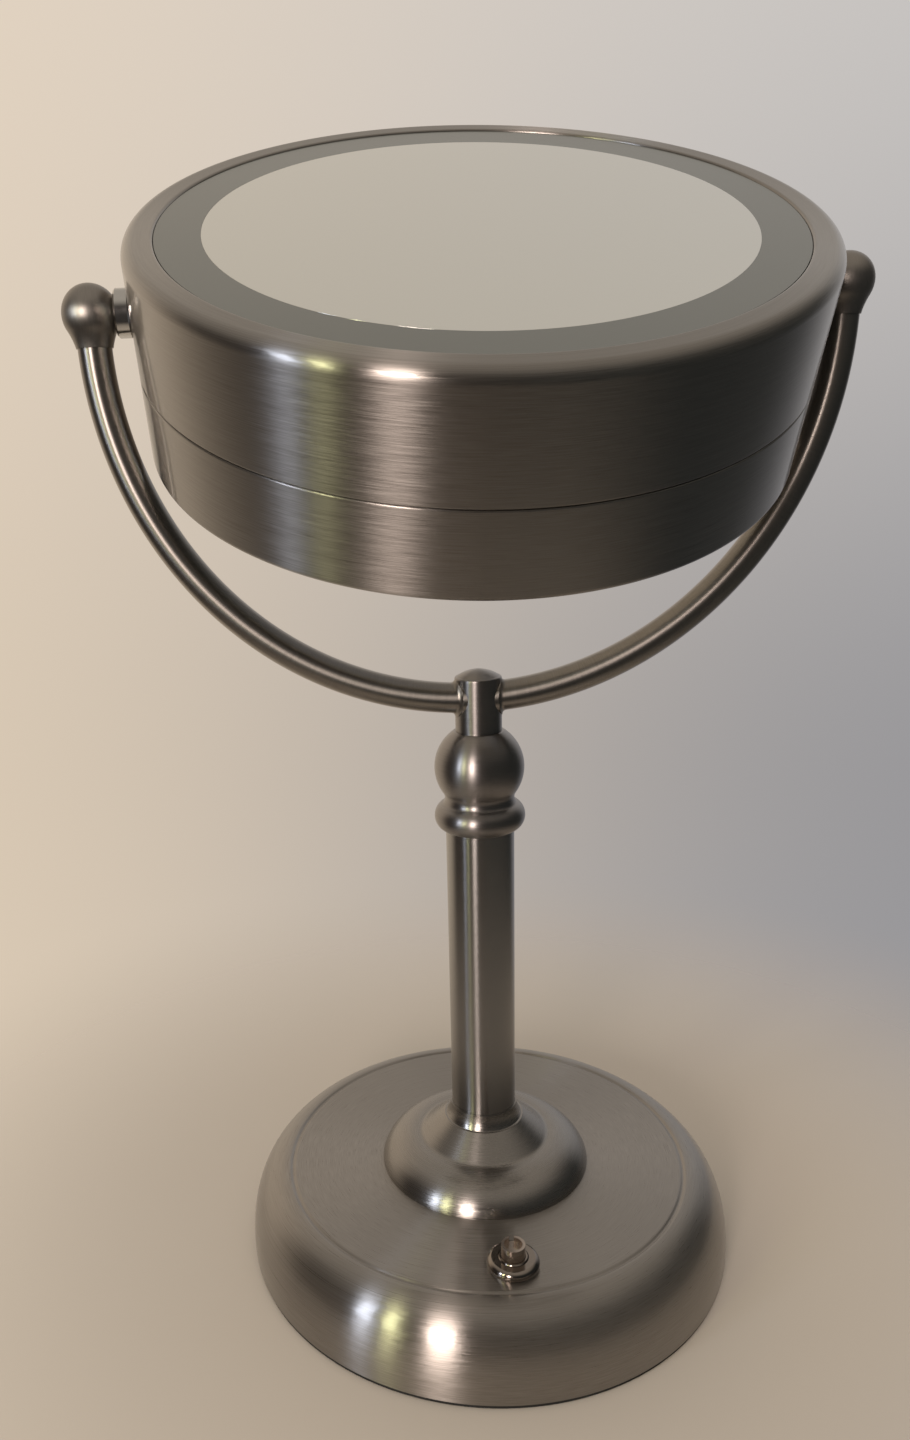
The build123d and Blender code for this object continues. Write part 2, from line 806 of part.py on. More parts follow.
for side, word in ((-1, "left"), (1, "right")):
    save(f"yoke_arm_{word}", yoke_arm(side))
    save(f"pivot_ball_{word}", pivot_ball(side))
    save(f"pivot_spacer_{word}", pivot_spacer(side))
    stud_start = ball_seat + stud_in_ball
    save(f"pivot_stud_{word}", pivot_ring(side, stud_bore, stud_radius, stud_end, stud_start))
    washer_end = nut_start + friction_washer_thickness
    washer = pivot_ring(side, pivot_hole, friction_washer_radius, nut_start, washer_end)
    save(f"friction_washer_{word}", washer)
    save(f"pivot_nut_{word}", pivot_nut(side))

# ---- power lead: from the switch, up the rod, through the hub and the left arm to the pivot ----
rise_centre = yoke_centre - sqrt((yoke_radius + lead_bend) ** 2 - lead_bend**2)
meet_angle = degrees(atan2(rise_centre - yoke_centre, -lead_bend)) + 360
lead_end = stud_end - lead_end_gap


def arc_across(centre_x, centre_z, radius, start, end):
    """An arc in the XZ plane, by its centre, radius and two angles."""
    points = []
    for angle in (start, (start + end) / 2, end):
        points.append((centre_x + radius * cos(radians(angle)), 0, centre_z + radius * sin(radians(angle))))
    return ThreePointArc(*points)


with BuildPart() as power_lead:
    with BuildLine():
        near_terminal = -switch_distance + terminal_spacing / 2 - lead_radius
        under = Line((0, near_terminal, lead_level), (0, -lead_bend, lead_level))
        half = lead_bend * sin(radians(45))
        lift = ThreePointArc(
            under @ 1,
            (0, -lead_bend + half, lead_level + lead_bend - half),
            (0, 0, lead_level + lead_bend),
        )
        Line(lift @ 1, (0, 0, rise_centre))
        arc_across(-lead_bend, rise_centre, lead_bend, 0, meet_angle - 180)
        sweep_arc = arc_across(0, yoke_centre, yoke_radius, meet_angle, 180)
        Line(sweep_arc @ 1, (-yoke_radius, 0, pivot_height - lead_pivot_bend))
        turn_level = pivot_height - lead_pivot_bend
        turn_in = arc_across(-yoke_radius + lead_pivot_bend, turn_level, lead_pivot_bend, 180, 90)
        Line(turn_in @ 1, (-lead_end, 0, pivot_height))
    with BuildSketch(Plane(origin=under @ 0, x_dir=(1, 0, 0), z_dir=(0, 1, 0))):
        Circle(lead_radius)
    sweep()
save("power_lead", power_lead.part)

# ---- battery lead: from the bay's front wall to the switch's other terminal ----
with BuildPart() as battery_lead:
    bay_wall_front = bay_front - bay_wall
    terminal_row = -switch_distance - terminal_spacing / 2
    with BuildLine():
        FilletPolyline(
            (battery_lead_side, bay_wall_front, lead_level),
            (battery_lead_side, terminal_row, lead_level),
            (-terminal_width / 2, terminal_row, lead_level),
            radius=lead_bend,
        )
    battery_end = (battery_lead_side, bay_wall_front, lead_level)
    with BuildSketch(Plane(origin=battery_end, x_dir=(1, 0, 0), z_dir=(0, -1, 0))):
        Circle(lead_radius)
    sweep()
save("battery_lead", battery_lead.part)


# ---- head: one shell, tray, light ring, board and mirror for each face ----
def shell(face, depth, edge_radius):
    """Spun shell of one face: turned-in lip, flat bezel, rolled edge and wall down to the seam."""
    inner_radius = head_radius - head_sheet
    edge_centre = head_radius - edge_radius
    wall_end = -depth + seam_gap / 2
    with BuildPart() as spun:
        with BuildSketch(section_of(face)):
            with BuildLine():
                lip = Line(
                    (bezel_inner_radius, -bezel_lip_depth),
                    (bezel_inner_radius, -bezel_lip_round),
                )
                RadiusArc(lip @ 1, (bezel_inner_radius + bezel_lip_round, 0), bezel_lip_round)
                Line((bezel_inner_radius + bezel_lip_round, 0), (edge_centre, 0))
                CenterArc((edge_centre, -edge_radius), edge_radius, 0, 90)
                Polyline(
                    (head_radius, -edge_radius),
                    (head_radius, wall_end),
                    (inner_radius, wall_end),
                    (inner_radius, -edge_radius),
                )
                CenterArc((edge_centre, -edge_radius), edge_radius - head_sheet, 0, 90)
                Polyline(
                    (edge_centre, -head_sheet),
                    (bezel_inner_radius + head_sheet, -head_sheet),
                    (bezel_inner_radius + head_sheet, -bezel_lip_depth),
                    lip @ 0,
                )
            make_face()
        revolve(axis=axis_of(face))
    return spun.part


def dish(radius):
    """How far the concave mirror lies below its own edge at a radius."""
    return sqrt(concave_radius**2 - radius**2) - sqrt(concave_radius**2 - mirror_radius**2)


def tray(face, depth, edge_radius, wall_drop, support_drop):
    """Moulded tray of one face: walls, floor, ledge for the light ring, mirror supports and posts."""
    floor_low = -floor_depth - tray_floor
    wall_inner = tray_radius - tray_wall
    inner_wall = mirror_radius - tray_inner_wall / 2
    with BuildPart() as moulded:
        with BuildSketch(section_of(face)):
            ring_area(wall_inner, tray_radius, -depth + seam_gap / 2, -glass_seat)
            ring_area(diffuser_radius + diffuser_gap, tray_radius, -glass_seat, -edge_radius)
            ring_area(diffuser_radius - tray_ledge, tray_radius, -glass_seat - tray_ledge_height, -glass_seat)
            ring_area(tray_opening_radius, wall_inner, floor_low, -floor_depth)
            ring_area(inner_wall, inner_wall + tray_inner_wall, floor_low, -glass_seat - wall_drop)
            ring_area(support_radius - support_wall, support_radius, floor_low, -glass_seat - support_drop)
        revolve(axis=axis_of(face))
        with BuildSketch(face.offset(-depth)):
            with PolarLocations(tray_post_ring_radius, tray_post_count, start_angle=45):
                Circle(tray_post_radius)
        extrude(amount=depth + floor_low)
        with BuildSketch(face.offset(floor_low)):
            with Locations((-lead_rise_x, lead_rise_y)):
                Circle(lead_radius + lead_hole_play)
        extrude(amount=tray_floor, mode=Mode.SUBTRACT)
    return moulded.part


with BuildPart() as front_shell:
    add(shell(front_face, front_depth, front_edge_radius))
    for side in (-1, 1):
        with BuildSketch(pivot_plane(side, boss_end)):
            Circle(stud_radius + hole_gap)
        extrude(amount=spacer_start - boss_end, mode=Mode.SUBTRACT)
save("front_shell", front_shell.part)
save("rear_shell", shell(rear_face, rear_depth, rear_edge_radius))

with BuildPart() as front_tray:
    add(tray(front_face, front_depth, front_edge_radius, 0, 0))
    for side in (-1, 1):
        with BuildSketch(pivot_plane(side, boss_end)):
            Circle(boss_radius)
        extrude(amount=boss_length + tray_wall / 2)
    for side in (-1, 1):
        with BuildSketch(pivot_plane(side, boss_end)):
            Circle(stud_radius + running_gap)
        extrude(amount=spacer_start - boss_end, mode=Mode.SUBTRACT)
    with BuildSketch(front_face.offset(-front_depth)):
        with PolarLocations(tray_post_ring_radius, tray_post_count, start_angle=45):
            Circle(screw_radius + seat_gap)
    extrude(amount=tray_screw_reach + hole_gap, mode=Mode.SUBTRACT)
save("front_tray", front_tray.part)

with BuildPart() as rear_tray:
    wall_drop = dish(mirror_radius - tray_inner_wall / 2)
    support_drop = dish(support_radius - support_wall)
    add(tray(rear_face, rear_depth, rear_edge_radius, wall_drop, support_drop))
    with BuildSketch(rear_face.offset(-rear_depth)):
        with PolarLocations(tray_post_ring_radius, tray_post_count, start_angle=45):
            Circle(screw_radius + hole_gap)
    extrude(amount=tray_screw_grip, mode=Mode.SUBTRACT)
    with BuildSketch(rear_face.offset(-rear_depth + tray_screw_grip)):
        with PolarLocations(tray_post_ring_radius, tray_post_count, start_angle=45):
            Circle(screw_head_radius + hole_gap)
    extrude(amount=rear_depth - tray_screw_grip - floor_depth, mode=Mode.SUBTRACT)
save("rear_tray", rear_tray.part)

with BuildPart() as tray_screws:
    with BuildSketch(rear_face.offset(-rear_depth - tray_screw_reach)):
        with PolarLocations(tray_post_ring_radius, tray_post_count, start_angle=45):
            Circle(screw_radius)
    extrude(amount=tray_screw_reach + tray_screw_grip)
    with BuildSketch(rear_face.offset(-rear_depth + tray_screw_grip)):
        with PolarLocations(tray_post_ring_radius, tray_post_count, start_angle=45):
            Circle(screw_head_radius)
    extrude(amount=screw_head_height)
save("tray_screws", tray_screws.part)

for face, word in ((front_face, "front"), (rear_face, "rear")):
    with BuildPart() as light_ring:
        with BuildSketch(face.offset(-glass_seat)):
            Circle(diffuser_radius)
            Circle(mirror_radius + diffuser_gap, mode=Mode.SUBTRACT)
        extrude(amount=glass_thickness)
    save(f"{word}_light_ring", light_ring.part)
    with BuildPart() as led_board:
        with BuildSketch(face.offset(-floor_depth)):
            Circle(led_board_outer)
            Circle(led_board_inner, mode=Mode.SUBTRACT)
        extrude(amount=led_board_thickness)
    save(f"{word}_led_board", led_board.part)
    with BuildPart() as lamps:
        with BuildSketch(face.offset(-floor_depth + led_board_thickness)):
            with PolarLocations(led_board_middle, led_count):
                Rectangle(led_width, led_length)
        extrude(amount=led_height)
    save(f"{word}_leds", lamps.part)

with BuildPart() as front_mirror:
    with BuildSketch(front_face.offset(-glass_seat)):
        Circle(mirror_radius)
    extrude(amount=glass_thickness)
save("front_mirror", front_mirror.part)

with BuildPart() as rear_mirror:
    with BuildSketch(section_of(rear_face)):
        with BuildLine():
            half_radius = mirror_radius / 2
            silvered = ThreePointArc(
                (mirror_radius, -glass_seat),
                (half_radius, -glass_seat - dish(half_radius)),
                (0, -glass_seat - dish(0)),
            )
            glass = ThreePointArc(
                (0, -bezel_lip_depth - dish(0)),
                (half_radius, -bezel_lip_depth - dish(half_radius)),
                (mirror_radius, -bezel_lip_depth),
            )
            Line(silvered @ 1, glass @ 0)
            Line(glass @ 1, silvered @ 0)
        make_face()
    revolve(axis=axis_of(rear_face))
save("rear_mirror", rear_mirror.part)

# ---- leads inside the head, one from the pivot to each ring board ----
with BuildPart() as head_leads:
    for face, turn in ((front_face, 1), (rear_face, -1)):
        start = (-lead_end + lead_end_gap, turn * head_lead_offset)
        rise = face.offset(-floor_depth - seat_gap).origin - head.origin
        height = turn * rise.length
        with BuildLine(head):
            FilletPolyline(
                (start[0], start[1], 0),
                (start[0] + head_lead_reach, start[1], 0),
                (-lead_rise_x, turn * lead_rise_y, 0),
                (-lead_rise_x, turn * lead_rise_y, height),
                radius=head_lead_bend,
            )
        lead_start = head.from_local_coords((start[0], start[1], 0))
        with BuildSketch(Plane(origin=lead_start, x_dir=head.y_dir, z_dir=head.x_dir)):
            Circle(lead_radius)
        sweep()
save("head_leads", head_leads.part)
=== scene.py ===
import json

import bmesh
import bpy
import numpy as np
from mathutils import Matrix, Vector


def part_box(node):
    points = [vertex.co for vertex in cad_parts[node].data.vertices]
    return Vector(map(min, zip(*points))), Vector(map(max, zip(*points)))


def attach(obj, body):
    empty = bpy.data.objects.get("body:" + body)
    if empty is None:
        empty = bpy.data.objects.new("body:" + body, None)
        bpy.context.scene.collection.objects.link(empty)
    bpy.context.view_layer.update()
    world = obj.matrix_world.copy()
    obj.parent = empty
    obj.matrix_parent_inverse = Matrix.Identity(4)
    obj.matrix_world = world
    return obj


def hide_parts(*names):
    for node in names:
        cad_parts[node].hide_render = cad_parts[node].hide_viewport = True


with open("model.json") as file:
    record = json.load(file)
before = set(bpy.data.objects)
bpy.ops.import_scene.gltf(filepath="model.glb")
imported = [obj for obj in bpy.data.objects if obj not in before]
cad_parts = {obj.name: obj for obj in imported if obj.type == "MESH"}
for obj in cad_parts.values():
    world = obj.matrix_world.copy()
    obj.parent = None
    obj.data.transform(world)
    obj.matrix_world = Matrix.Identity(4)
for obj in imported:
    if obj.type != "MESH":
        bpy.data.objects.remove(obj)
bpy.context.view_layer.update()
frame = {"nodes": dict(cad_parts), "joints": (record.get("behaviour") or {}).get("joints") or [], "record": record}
nodes = frame["nodes"]
print("frame loaded:", len(nodes), "nodes")

# the head's pivot, taken from the frame, in metres, and the leaning axis that its round pieces are turned about
pivot = np.array(next(joint["pos_m"] for joint in frame["joints"] if joint["name"] == "head_tilt"))
headTilt = np.radians(26.5)  # from upright towards the front
headAxis = np.array([0.0, -np.sin(headTilt), np.cos(headTilt)])


# camera, at the photograph's place
camera = {
    "place": (-0.0576, -0.3808, 0.3161),
    "yaw": 2.433,  # degrees to the right of straight ahead
    "pitch": 19.322,  # degrees downwards
    "roll": 2.801,
    "focalPixels": 1090.1,
    "frame": (910, 1440),
    "offCentre": (-86.2, 101.7),  # pixels from the middle of the picture to the lens axis, right and down
    "sensor": 36.0,
}


# turns a yaw, pitch and roll into the camera's right, up and backward directions
def cameraAxes(yaw, pitch, roll):
    ahead = np.array([np.sin(yaw) * np.cos(pitch), np.cos(yaw) * np.cos(pitch), -np.sin(pitch)])
    level = np.array([np.cos(yaw), -np.sin(yaw), 0.0])
    below = np.cross(ahead, level)
    right = np.cos(roll) * level + np.sin(roll) * below
    down = np.cos(roll) * below - np.sin(roll) * level
    return right, -down, -ahead


def addCamera(c):
    axes = cameraAxes(*np.radians([c["yaw"], c["pitch"], c["roll"]]))
    longSide = max(c["frame"])
    data = bpy.data.cameras.new("camera")
    data.sensor_width = c["sensor"]
    data.lens = c["focalPixels"] * c["sensor"] / longSide
    data.shift_x = -c["offCentre"][0] / longSide
    data.shift_y = c["offCentre"][1] / longSide
    data.clip_start = 0.01
    seen = bpy.data.objects.new("camera", data)
    turn = Matrix([axes[0], axes[1], axes[2]]).transposed()
    seen.matrix_world = Matrix.Translation(c["place"]) @ turn.to_4x4()
    bpy.context.scene.collection.objects.link(seen)
    bpy.context.scene.camera = seen


addCamera(camera)
bpy.context.scene.view_settings.view_transform = "Standard"
print("camera in place")


# helpers for materials

# sRGB hex, such as "#8c8177", to the linear values that a shader takes
def toLinear(code):
    shares = np.array([int(code[i : i + 2], 16) for i in (1, 3, 5)]) / 255
    linear = np.where(shares <= 0.04045, shares / 12.92, ((shares + 0.055) / 1.055) ** 2.4)
    return (*linear.tolist(), 1.0)


# adds a node; settings go to the node, and inputs to its sockets, by name or number, as a value or a link
def addNode(tree, kind, inputs=None, **settings):
    node = tree.nodes.new(kind)
    for name, value in settings.items():
        setattr(node, name, value)
    for name, value in (inputs or {}).items():
        if isinstance(value, bpy.types.NodeSocket):
            tree.links.new(value, node.inputs[name])
        else:
            node.inputs[name].default_value = value
    return node


def newMaterial(name):
    material = bpy.data.materials.new(name)
    material.use_nodes = True
    material.node_tree.nodes.clear()
    return material, material.node_tree


def setSurface(tree, shader):
    addNode(tree, "ShaderNodeOutputMaterial", {"Surface": shader.outputs[0]})


# stage: a pale floor that fades into a plain room, and soft windows at the left
stage = {
    "floorHex": "#bfb6ab",
    "floorRadius": 1.6,  # metres
    "floorHole": 0.001,  # under the base
    "floorGrid": (96, 40),  # segments round it, and rings
    "floorRoughness": 0.9,
    "floorSpeckle": 900.0,  # speckles in a metre
    "floorBump": (0.04, 0.0005),  # the speckles' strength, and what a strength of 1 stands for
    "fade": (0.12, 0.40),  # metres from the middle: where the floor starts and ends to give way to the room
    "backLeftHex": "#dccbb5",
    "backRightHex": "#98979a",
    "upperLeftHex": "#e6d5c0",
    "upperRightHex": "#c9c6c4",
    "frontLeftHex": "#3f3935",
    "frontRightHex": "#3a3c3b",
    "ceilingHex": "#bab1a5",
    # where one colour of the room gives way to the next, by a ray's direction: its parts run from -1 to 1
    "leftToRight": (-0.5, 0.6),
    "lowerToUpper": (-0.3, 0.4),
    "frontToBack": (0.18, 0.75),
    "wallToCeiling": (0.35, 0.9),
    "leftForward": 0.1,  # how much further forward the pale wall comes at the left
    "lampAim": 0.2,  # metres above the floor: what the windows face
    "windows": [
        # azimuth, from the front round to the left, and elevation in degrees; distance, width and height in metres;
        # power in watts
        {"azimuth": 27, "elevation": 11, "distance": 2.2, "size": (0.42, 0.95), "hex": "#ffeee4", "power": 24.0},
        {"azimuth": 49, "elevation": 13, "distance": 2.2, "size": (0.20, 1.00), "hex": "#f0f2bc", "power": 7.2},
        {"azimuth": 61, "elevation": 12, "distance": 2.2, "size": (0.26, 0.95), "hex": "#e2ecff", "power": 8.0},
    ],
    "fill": {"height": 1.5, "size": 1.4, "power": 14.0, "hex": "#fff8f0"},  # overhead; no metal reflects it
}


mergeWithin = 1e-6  # metres: points closer than this become one
shortestEdge = 1e-7  # metres: what is thinner than this is taken out
sharpFrom = 35  # degrees: an edge that bends more than this stays crisp


# a mesh object from a grid of points; closeU and closeV join the last row or column to the first, and points that
# meet at a pole become one
def gridObject(name, points, closeU=False, closeV=False):
    countU, countV = points.shape[:2]
    index = np.arange(countU * countV).reshape(countU, countV)
    if closeU:
        index = np.concatenate([index, index[:1]], axis=0)
    if closeV:
        index = np.concatenate([index, index[:, :1]], axis=1)
    faces = np.stack([index[:-1, :-1], index[1:, :-1], index[1:, 1:], index[:-1, 1:]], axis=-1).reshape(-1, 4)
    mesh = bpy.data.meshes.new(name)
    mesh.from_pydata(points.reshape(-1, 3).tolist(), [], faces.tolist())
    joined = bmesh.new()
    joined.from_mesh(mesh)
    bmesh.ops.remove_doubles(joined, verts=joined.verts, dist=mergeWithin)
    bmesh.ops.dissolve_degenerate(joined, edges=joined.edges, dist=shortestEdge)
    bmesh.ops.recalc_face_normals(joined, faces=joined.faces)
    joined.to_mesh(mesh)
    joined.free()
    mesh.polygons.foreach_set("use_smooth", np.ones(len(mesh.polygons), bool))
    mesh.set_sharp_from_angle(angle=np.radians(sharpFrom))
    piece = bpy.data.objects.new(name, mesh)
    bpy.context.scene.collection.objects.link(piece)
    return piece


# the floor is a flat disc: rings of growing radius round the middle
def addFloor(s):
    segments, rings = s["floorGrid"]
    turn = np.linspace(0, 2 * np.pi, segments, endpoint=False)
    radii = np.linspace(s["floorHole"], s["floorRadius"], rings)
    points = np.stack(
        [np.outer(np.cos(turn), radii), np.outer(np.sin(turn), radii), np.zeros((len(turn), len(radii)))], axis=-1
    )
    floor = gridObject("floor", points[::-1], closeU=True)
    material, tree = newMaterial("matt painted board")
    place = addNode(tree, "ShaderNodeTexCoord").outputs["Object"]
    speckle = addNode(tree, "ShaderNodeTexNoise", {"Vector": place, "Scale": s["floorSpeckle"], "Detail": 2.0})
    strength, depth = s["floorBump"]
    bump = addNode(tree, "ShaderNodeBump", {"Height": speckle.outputs[0], "Strength": strength, "Distance": depth})
    board = addNode(
        tree,
        "ShaderNodeBsdfPrincipled",
        {"Base Color": toLinear(s["floorHex"]), "Roughness": s["floorRoughness"], "Normal": bump.outputs[0]},
    )
    clear = addNode(tree, "ShaderNodeBsdfTransparent")
    distance = addNode(tree, "ShaderNodeVectorMath", {0: place}, operation="LENGTH").outputs["Value"]
    share = addNode(
        tree, "ShaderNodeMapRange", {"Value": distance, "From Min": s["fade"][0], "From Max": s["fade"][1]},
        interpolation_type="SMOOTHSTEP",
    )
    faded = addNode(tree, "ShaderNodeMixShader", {0: share.outputs[0], 1: board.outputs[0], 2: clear.outputs[0]})
    setSurface(tree, faded)
    floor.data.materials.append(material)


# an area lamp at a distance from a point on the axis, which it faces
def addLamp(name, aim, away, distance, size, power, code):
    data = bpy.data.lights.new(name, "AREA")
    data.shape = "RECTANGLE"
    data.size, data.size_y = size
    data.energy = power
    data.color = toLinear(code)[:3]
    lamp = bpy.data.objects.new(name, data)
    lamp.location = Vector((0, 0, aim)) + away * distance
    lamp.rotation_euler = away.to_track_quat("Z", "Y").to_euler()
    lamp.visible_camera = False
    bpy.context.scene.collection.objects.link(lamp)
    return lamp


# the room, by the direction that a ray leaves in: pale behind and above, dim at the front
def addRoom(s):
    world = bpy.data.worlds.new("room")
    world.use_nodes = True
    tree = world.node_tree
    tree.nodes.clear()
    direction = addNode(tree, "ShaderNodeTexCoord").outputs["Generated"]
    flat = addNode(tree, "ShaderNodeVectorMath", {0: direction, 1: (1, 1, 0)}, operation="MULTIPLY").outputs[0]
    heading = addNode(tree, "ShaderNodeVectorMath", {0: flat}, operation="NORMALIZE").outputs[0]
    level = addNode(tree, "ShaderNodeSeparateXYZ", {0: heading})
    parts = addNode(tree, "ShaderNodeSeparateXYZ", {0: direction})

    def ramp(value, low, high):
        return addNode(
            tree, "ShaderNodeMapRange", {"Value": value, "From Min": low, "From Max": high},
            interpolation_type="SMOOTHSTEP",
        ).outputs[0]

    def mix(share, first, second):
        return addNode(tree, "ShaderNodeMix", {0: share, 6: first, 7: second}, data_type="RGBA").outputs[2]

    toRight = ramp(level.outputs["X"], *s["leftToRight"])
    lower = mix(toRight, toLinear(s["backLeftHex"]), toLinear(s["backRightHex"]))
    upper = mix(toRight, toLinear(s["upperLeftHex"]), toLinear(s["upperRightHex"]))
    behind = mix(ramp(parts.outputs["Z"], *s["lowerToUpper"]), lower, upper)
    before = mix(toRight, toLinear(s["frontLeftHex"]), toLinear(s["frontRightHex"]))
    # how far back the ray looks, with the left counted as a little further back than it is
    backward = addNode(
        tree, "ShaderNodeMath", {0: level.outputs["X"], 1: -s["leftForward"], 2: level.outputs["Y"]},
        operation="MULTIPLY_ADD",
    ).outputs[0]
    walls = mix(ramp(backward, *s["frontToBack"]), before, behind)
    room = mix(ramp(parts.outputs["Z"], *s["wallToCeiling"]), walls, toLinear(s["ceilingHex"]))
    background = addNode(tree, "ShaderNodeBackground", {"Color": room, "Strength": 1.0})
    addNode(tree, "ShaderNodeOutputWorld", {"Surface": background.outputs[0]})
    bpy.context.scene.world = world


def addLights(s):
    for number, w in enumerate(s["windows"], 1):
        azimuth, elevation = np.radians([w["azimuth"], w["elevation"]])
        away = Vector((-np.sin(azimuth) * np.cos(elevation), -np.cos(azimuth) * np.cos(elevation), np.sin(elevation)))
        addLamp(f"window_{number}", s["lampAim"], away, w["distance"], w["size"], w["power"], w["hex"])
    f = s["fill"]
    up, size = Vector((0, 0, 1)), (f["size"], f["size"])
    overhead = addLamp("fill", s["lampAim"], up, f["height"], size, f["power"], f["hex"])
    overhead.visible_glossy = False


addFloor(stage)
addRoom(stage)
addLights(stage)
print("stage lit")


# metals
bumpDepth = 0.0001  # metres: what a bump of strength 1 stands for, in every material but the floor's


# turned and spun metal: the cutter's marks run round an axis, so the shine fans out across them.
# The height and radius of a point about the axis give the marks, and its direction round the axis only a slow drift.
def turnedMetal(name, m, centre, axis):
    axis = np.array(axis) / np.linalg.norm(axis)
    material, tree = newMaterial(name)
    place = addNode(tree, "ShaderNodeTexCoord").outputs["Object"]
    offset = addNode(tree, "ShaderNodeVectorMath", {0: place, 1: tuple(centre)}, operation="SUBTRACT").outputs[0]
    height = addNode(
        tree, "ShaderNodeVectorMath", {0: offset, 1: tuple(axis)}, operation="DOT_PRODUCT"
    ).outputs["Value"]
    along = addNode(tree, "ShaderNodeVectorMath", {0: tuple(axis), "Scale": height}, operation="SCALE").outputs[0]
    outward = addNode(tree, "ShaderNodeVectorMath", {0: offset, 1: along}, operation="SUBTRACT").outputs[0]
    radius = addNode(tree, "ShaderNodeVectorMath", {0: outward}, operation="LENGTH").outputs["Value"]
    facing = addNode(tree, "ShaderNodeVectorMath", {0: outward}, operation="NORMALIZE").outputs[0]
    around = addNode(tree, "ShaderNodeVectorMath", {0: tuple(axis), 1: facing}, operation="CROSS_PRODUCT").outputs[0]
    tangent = addNode(
        tree, "ShaderNodeVectorTransform", {0: around}, vector_type="VECTOR", convert_from="OBJECT", convert_to="WORLD"
    ).outputs[0]
    # marks: a noise that is fine across the marks and long round the axis
    drift = addNode(tree, "ShaderNodeVectorMath", {0: facing, "Scale": m["markDrift"]}, operation="SCALE").outputs[0]
    layers = addNode(tree, "ShaderNodeCombineXYZ", {0: radius, 1: height, 2: 0.0}).outputs[0]
    across, lengthwise = (1000 / width for width in m["markMillimetres"])
    fine = addNode(
        tree, "ShaderNodeVectorMath", {0: layers, 1: (across, lengthwise, 1.0)}, operation="MULTIPLY"
    ).outputs[0]
    where = addNode(tree, "ShaderNodeVectorMath", {0: fine, 1: drift}, operation="ADD").outputs[0]
    grain = {"Scale": 1.0, "Detail": m["markDetail"], "Roughness": m["markContrast"]}
    noise = addNode(tree, "ShaderNodeTexNoise", {"Vector": where, **grain})
    marks = noise.outputs["Fac"]
    swing = addNode(tree, "ShaderNodeSeparateColor", {0: noise.outputs["Color"]}).outputs["Green"]
    cloud = addNode(
        tree, "ShaderNodeTexNoise", {"Vector": place, "Scale": 1000 / m["cloudMillimetres"], "Detail": 2.0}
    ).outputs[0]
    least, most = m["markRange"]
    rough = addNode(
        tree, "ShaderNodeMapRange",
        {"Value": marks, "From Min": least, "From Max": most, "To Min": m["roughness"][0], "To Max": m["roughness"][1]},
    ).outputs[0]
    tint = addNode(tree, "ShaderNodeMapRange", {"Value": marks, "From Min": least, "From Max": most}).outputs[0]
    streaked = addNode(
        tree, "ShaderNodeMix", {0: tint, 6: toLinear(m["hexes"][0]), 7: toLinear(m["hexes"][1])}, data_type="RGBA"
    ).outputs[2]
    clouded = addNode(
        tree, "ShaderNodeMix", {0: cloud, 6: streaked, 7: toLinear(m["hexes"][2])}, data_type="RGBA"
    ).outputs[2]
    bump = addNode(tree, "ShaderNodeBump", {"Height": marks, "Strength": m["bump"], "Distance": bumpDepth}).outputs[0]
    # each mark also leans a little round the axis, which frays the edges of a streak of light
    lean = addNode(
        tree, "ShaderNodeMapRange", {"Value": swing, "To Min": -m["lean"], "To Max": m["lean"]}
    ).outputs[0]
    aside = addNode(tree, "ShaderNodeVectorMath", {0: tangent, "Scale": lean}, operation="SCALE").outputs[0]
    leaning = addNode(tree, "ShaderNodeVectorMath", {0: bump, 1: aside}, operation="ADD").outputs[0]
    normal = addNode(tree, "ShaderNodeVectorMath", {0: leaning}, operation="NORMALIZE").outputs[0]
    metal = addNode(
        tree,
        "ShaderNodeBsdfPrincipled",
        {
            "Base Color": clouded,
            "Metallic": 1.0,
            "Roughness": rough,
            "Anisotropic": m["anisotropic"],
            "Anisotropic Rotation": m["turn"],
            "Tangent": tangent,
            "Normal": normal,
            "Coat Weight": m["lacquer"],
            "Coat Roughness": m["lacquerRoughness"],
        },
    )
    setSurface(tree, metal)
    return material


# nickel plate on a shell that was spun over a former, brushed as it turned and lacquered: brownish grey, with fine
# long marks, streaks of light across them and sharper reflections where it is seen edge on
spunNickel = {
    "hexes": ("#847f7a", "#aca7a2", "#96918c"),
    "markMillimetres": (0.3, 0.3),  # a mark's width, along the radius and along the axis
    "markDrift": 9.0,  # marks in a radian
    "cloudMillimetres": 60.0,
    "roughness": (0.29, 0.35),
    "anisotropic": 1.0,
    "turn": 0.25,  # of a circle, from the marks' own direction to the one that the shine spreads in
    "bump": 0.25,
    "lean": 0.035,
    "lacquer": 0.5,
    "lacquerRoughness": 0.08,
    "markRange": (0.3, 0.7),  # the part of the noise's range that the marks use
    "markDetail": 3.0,  # how many times the marks hold marks half as wide
    "markContrast": 0.6,  # how strong those are beside the wider ones
}
# the same on the base's shell, a little smoother
baseValues = dict(spunNickel, roughness=(0.27, 0.33))
# nickel plate on turned pieces: a little darker, with finer marks, softer shine and hardly any lacquer
turnedNickel = dict(
    spunNickel,
    hexes=("#827e7c", "#979391", "#8c8886"),
    roughness=(0.32, 0.37),
    anisotropic=0.75,
    markMillimetres=(0.25, 0.25),
    markDrift=2.0,
    bump=0.1,
    lean=0.03,
    lacquer=0.1,
)
# nickel plate on the column's tube: thin sharp streaks with a grainy edge
columnTubeValues = dict(
    turnedNickel, hexes=("#8b8987", "#a09e9c", "#959391"), roughness=(0.22, 0.26), anisotropic=0.95
)
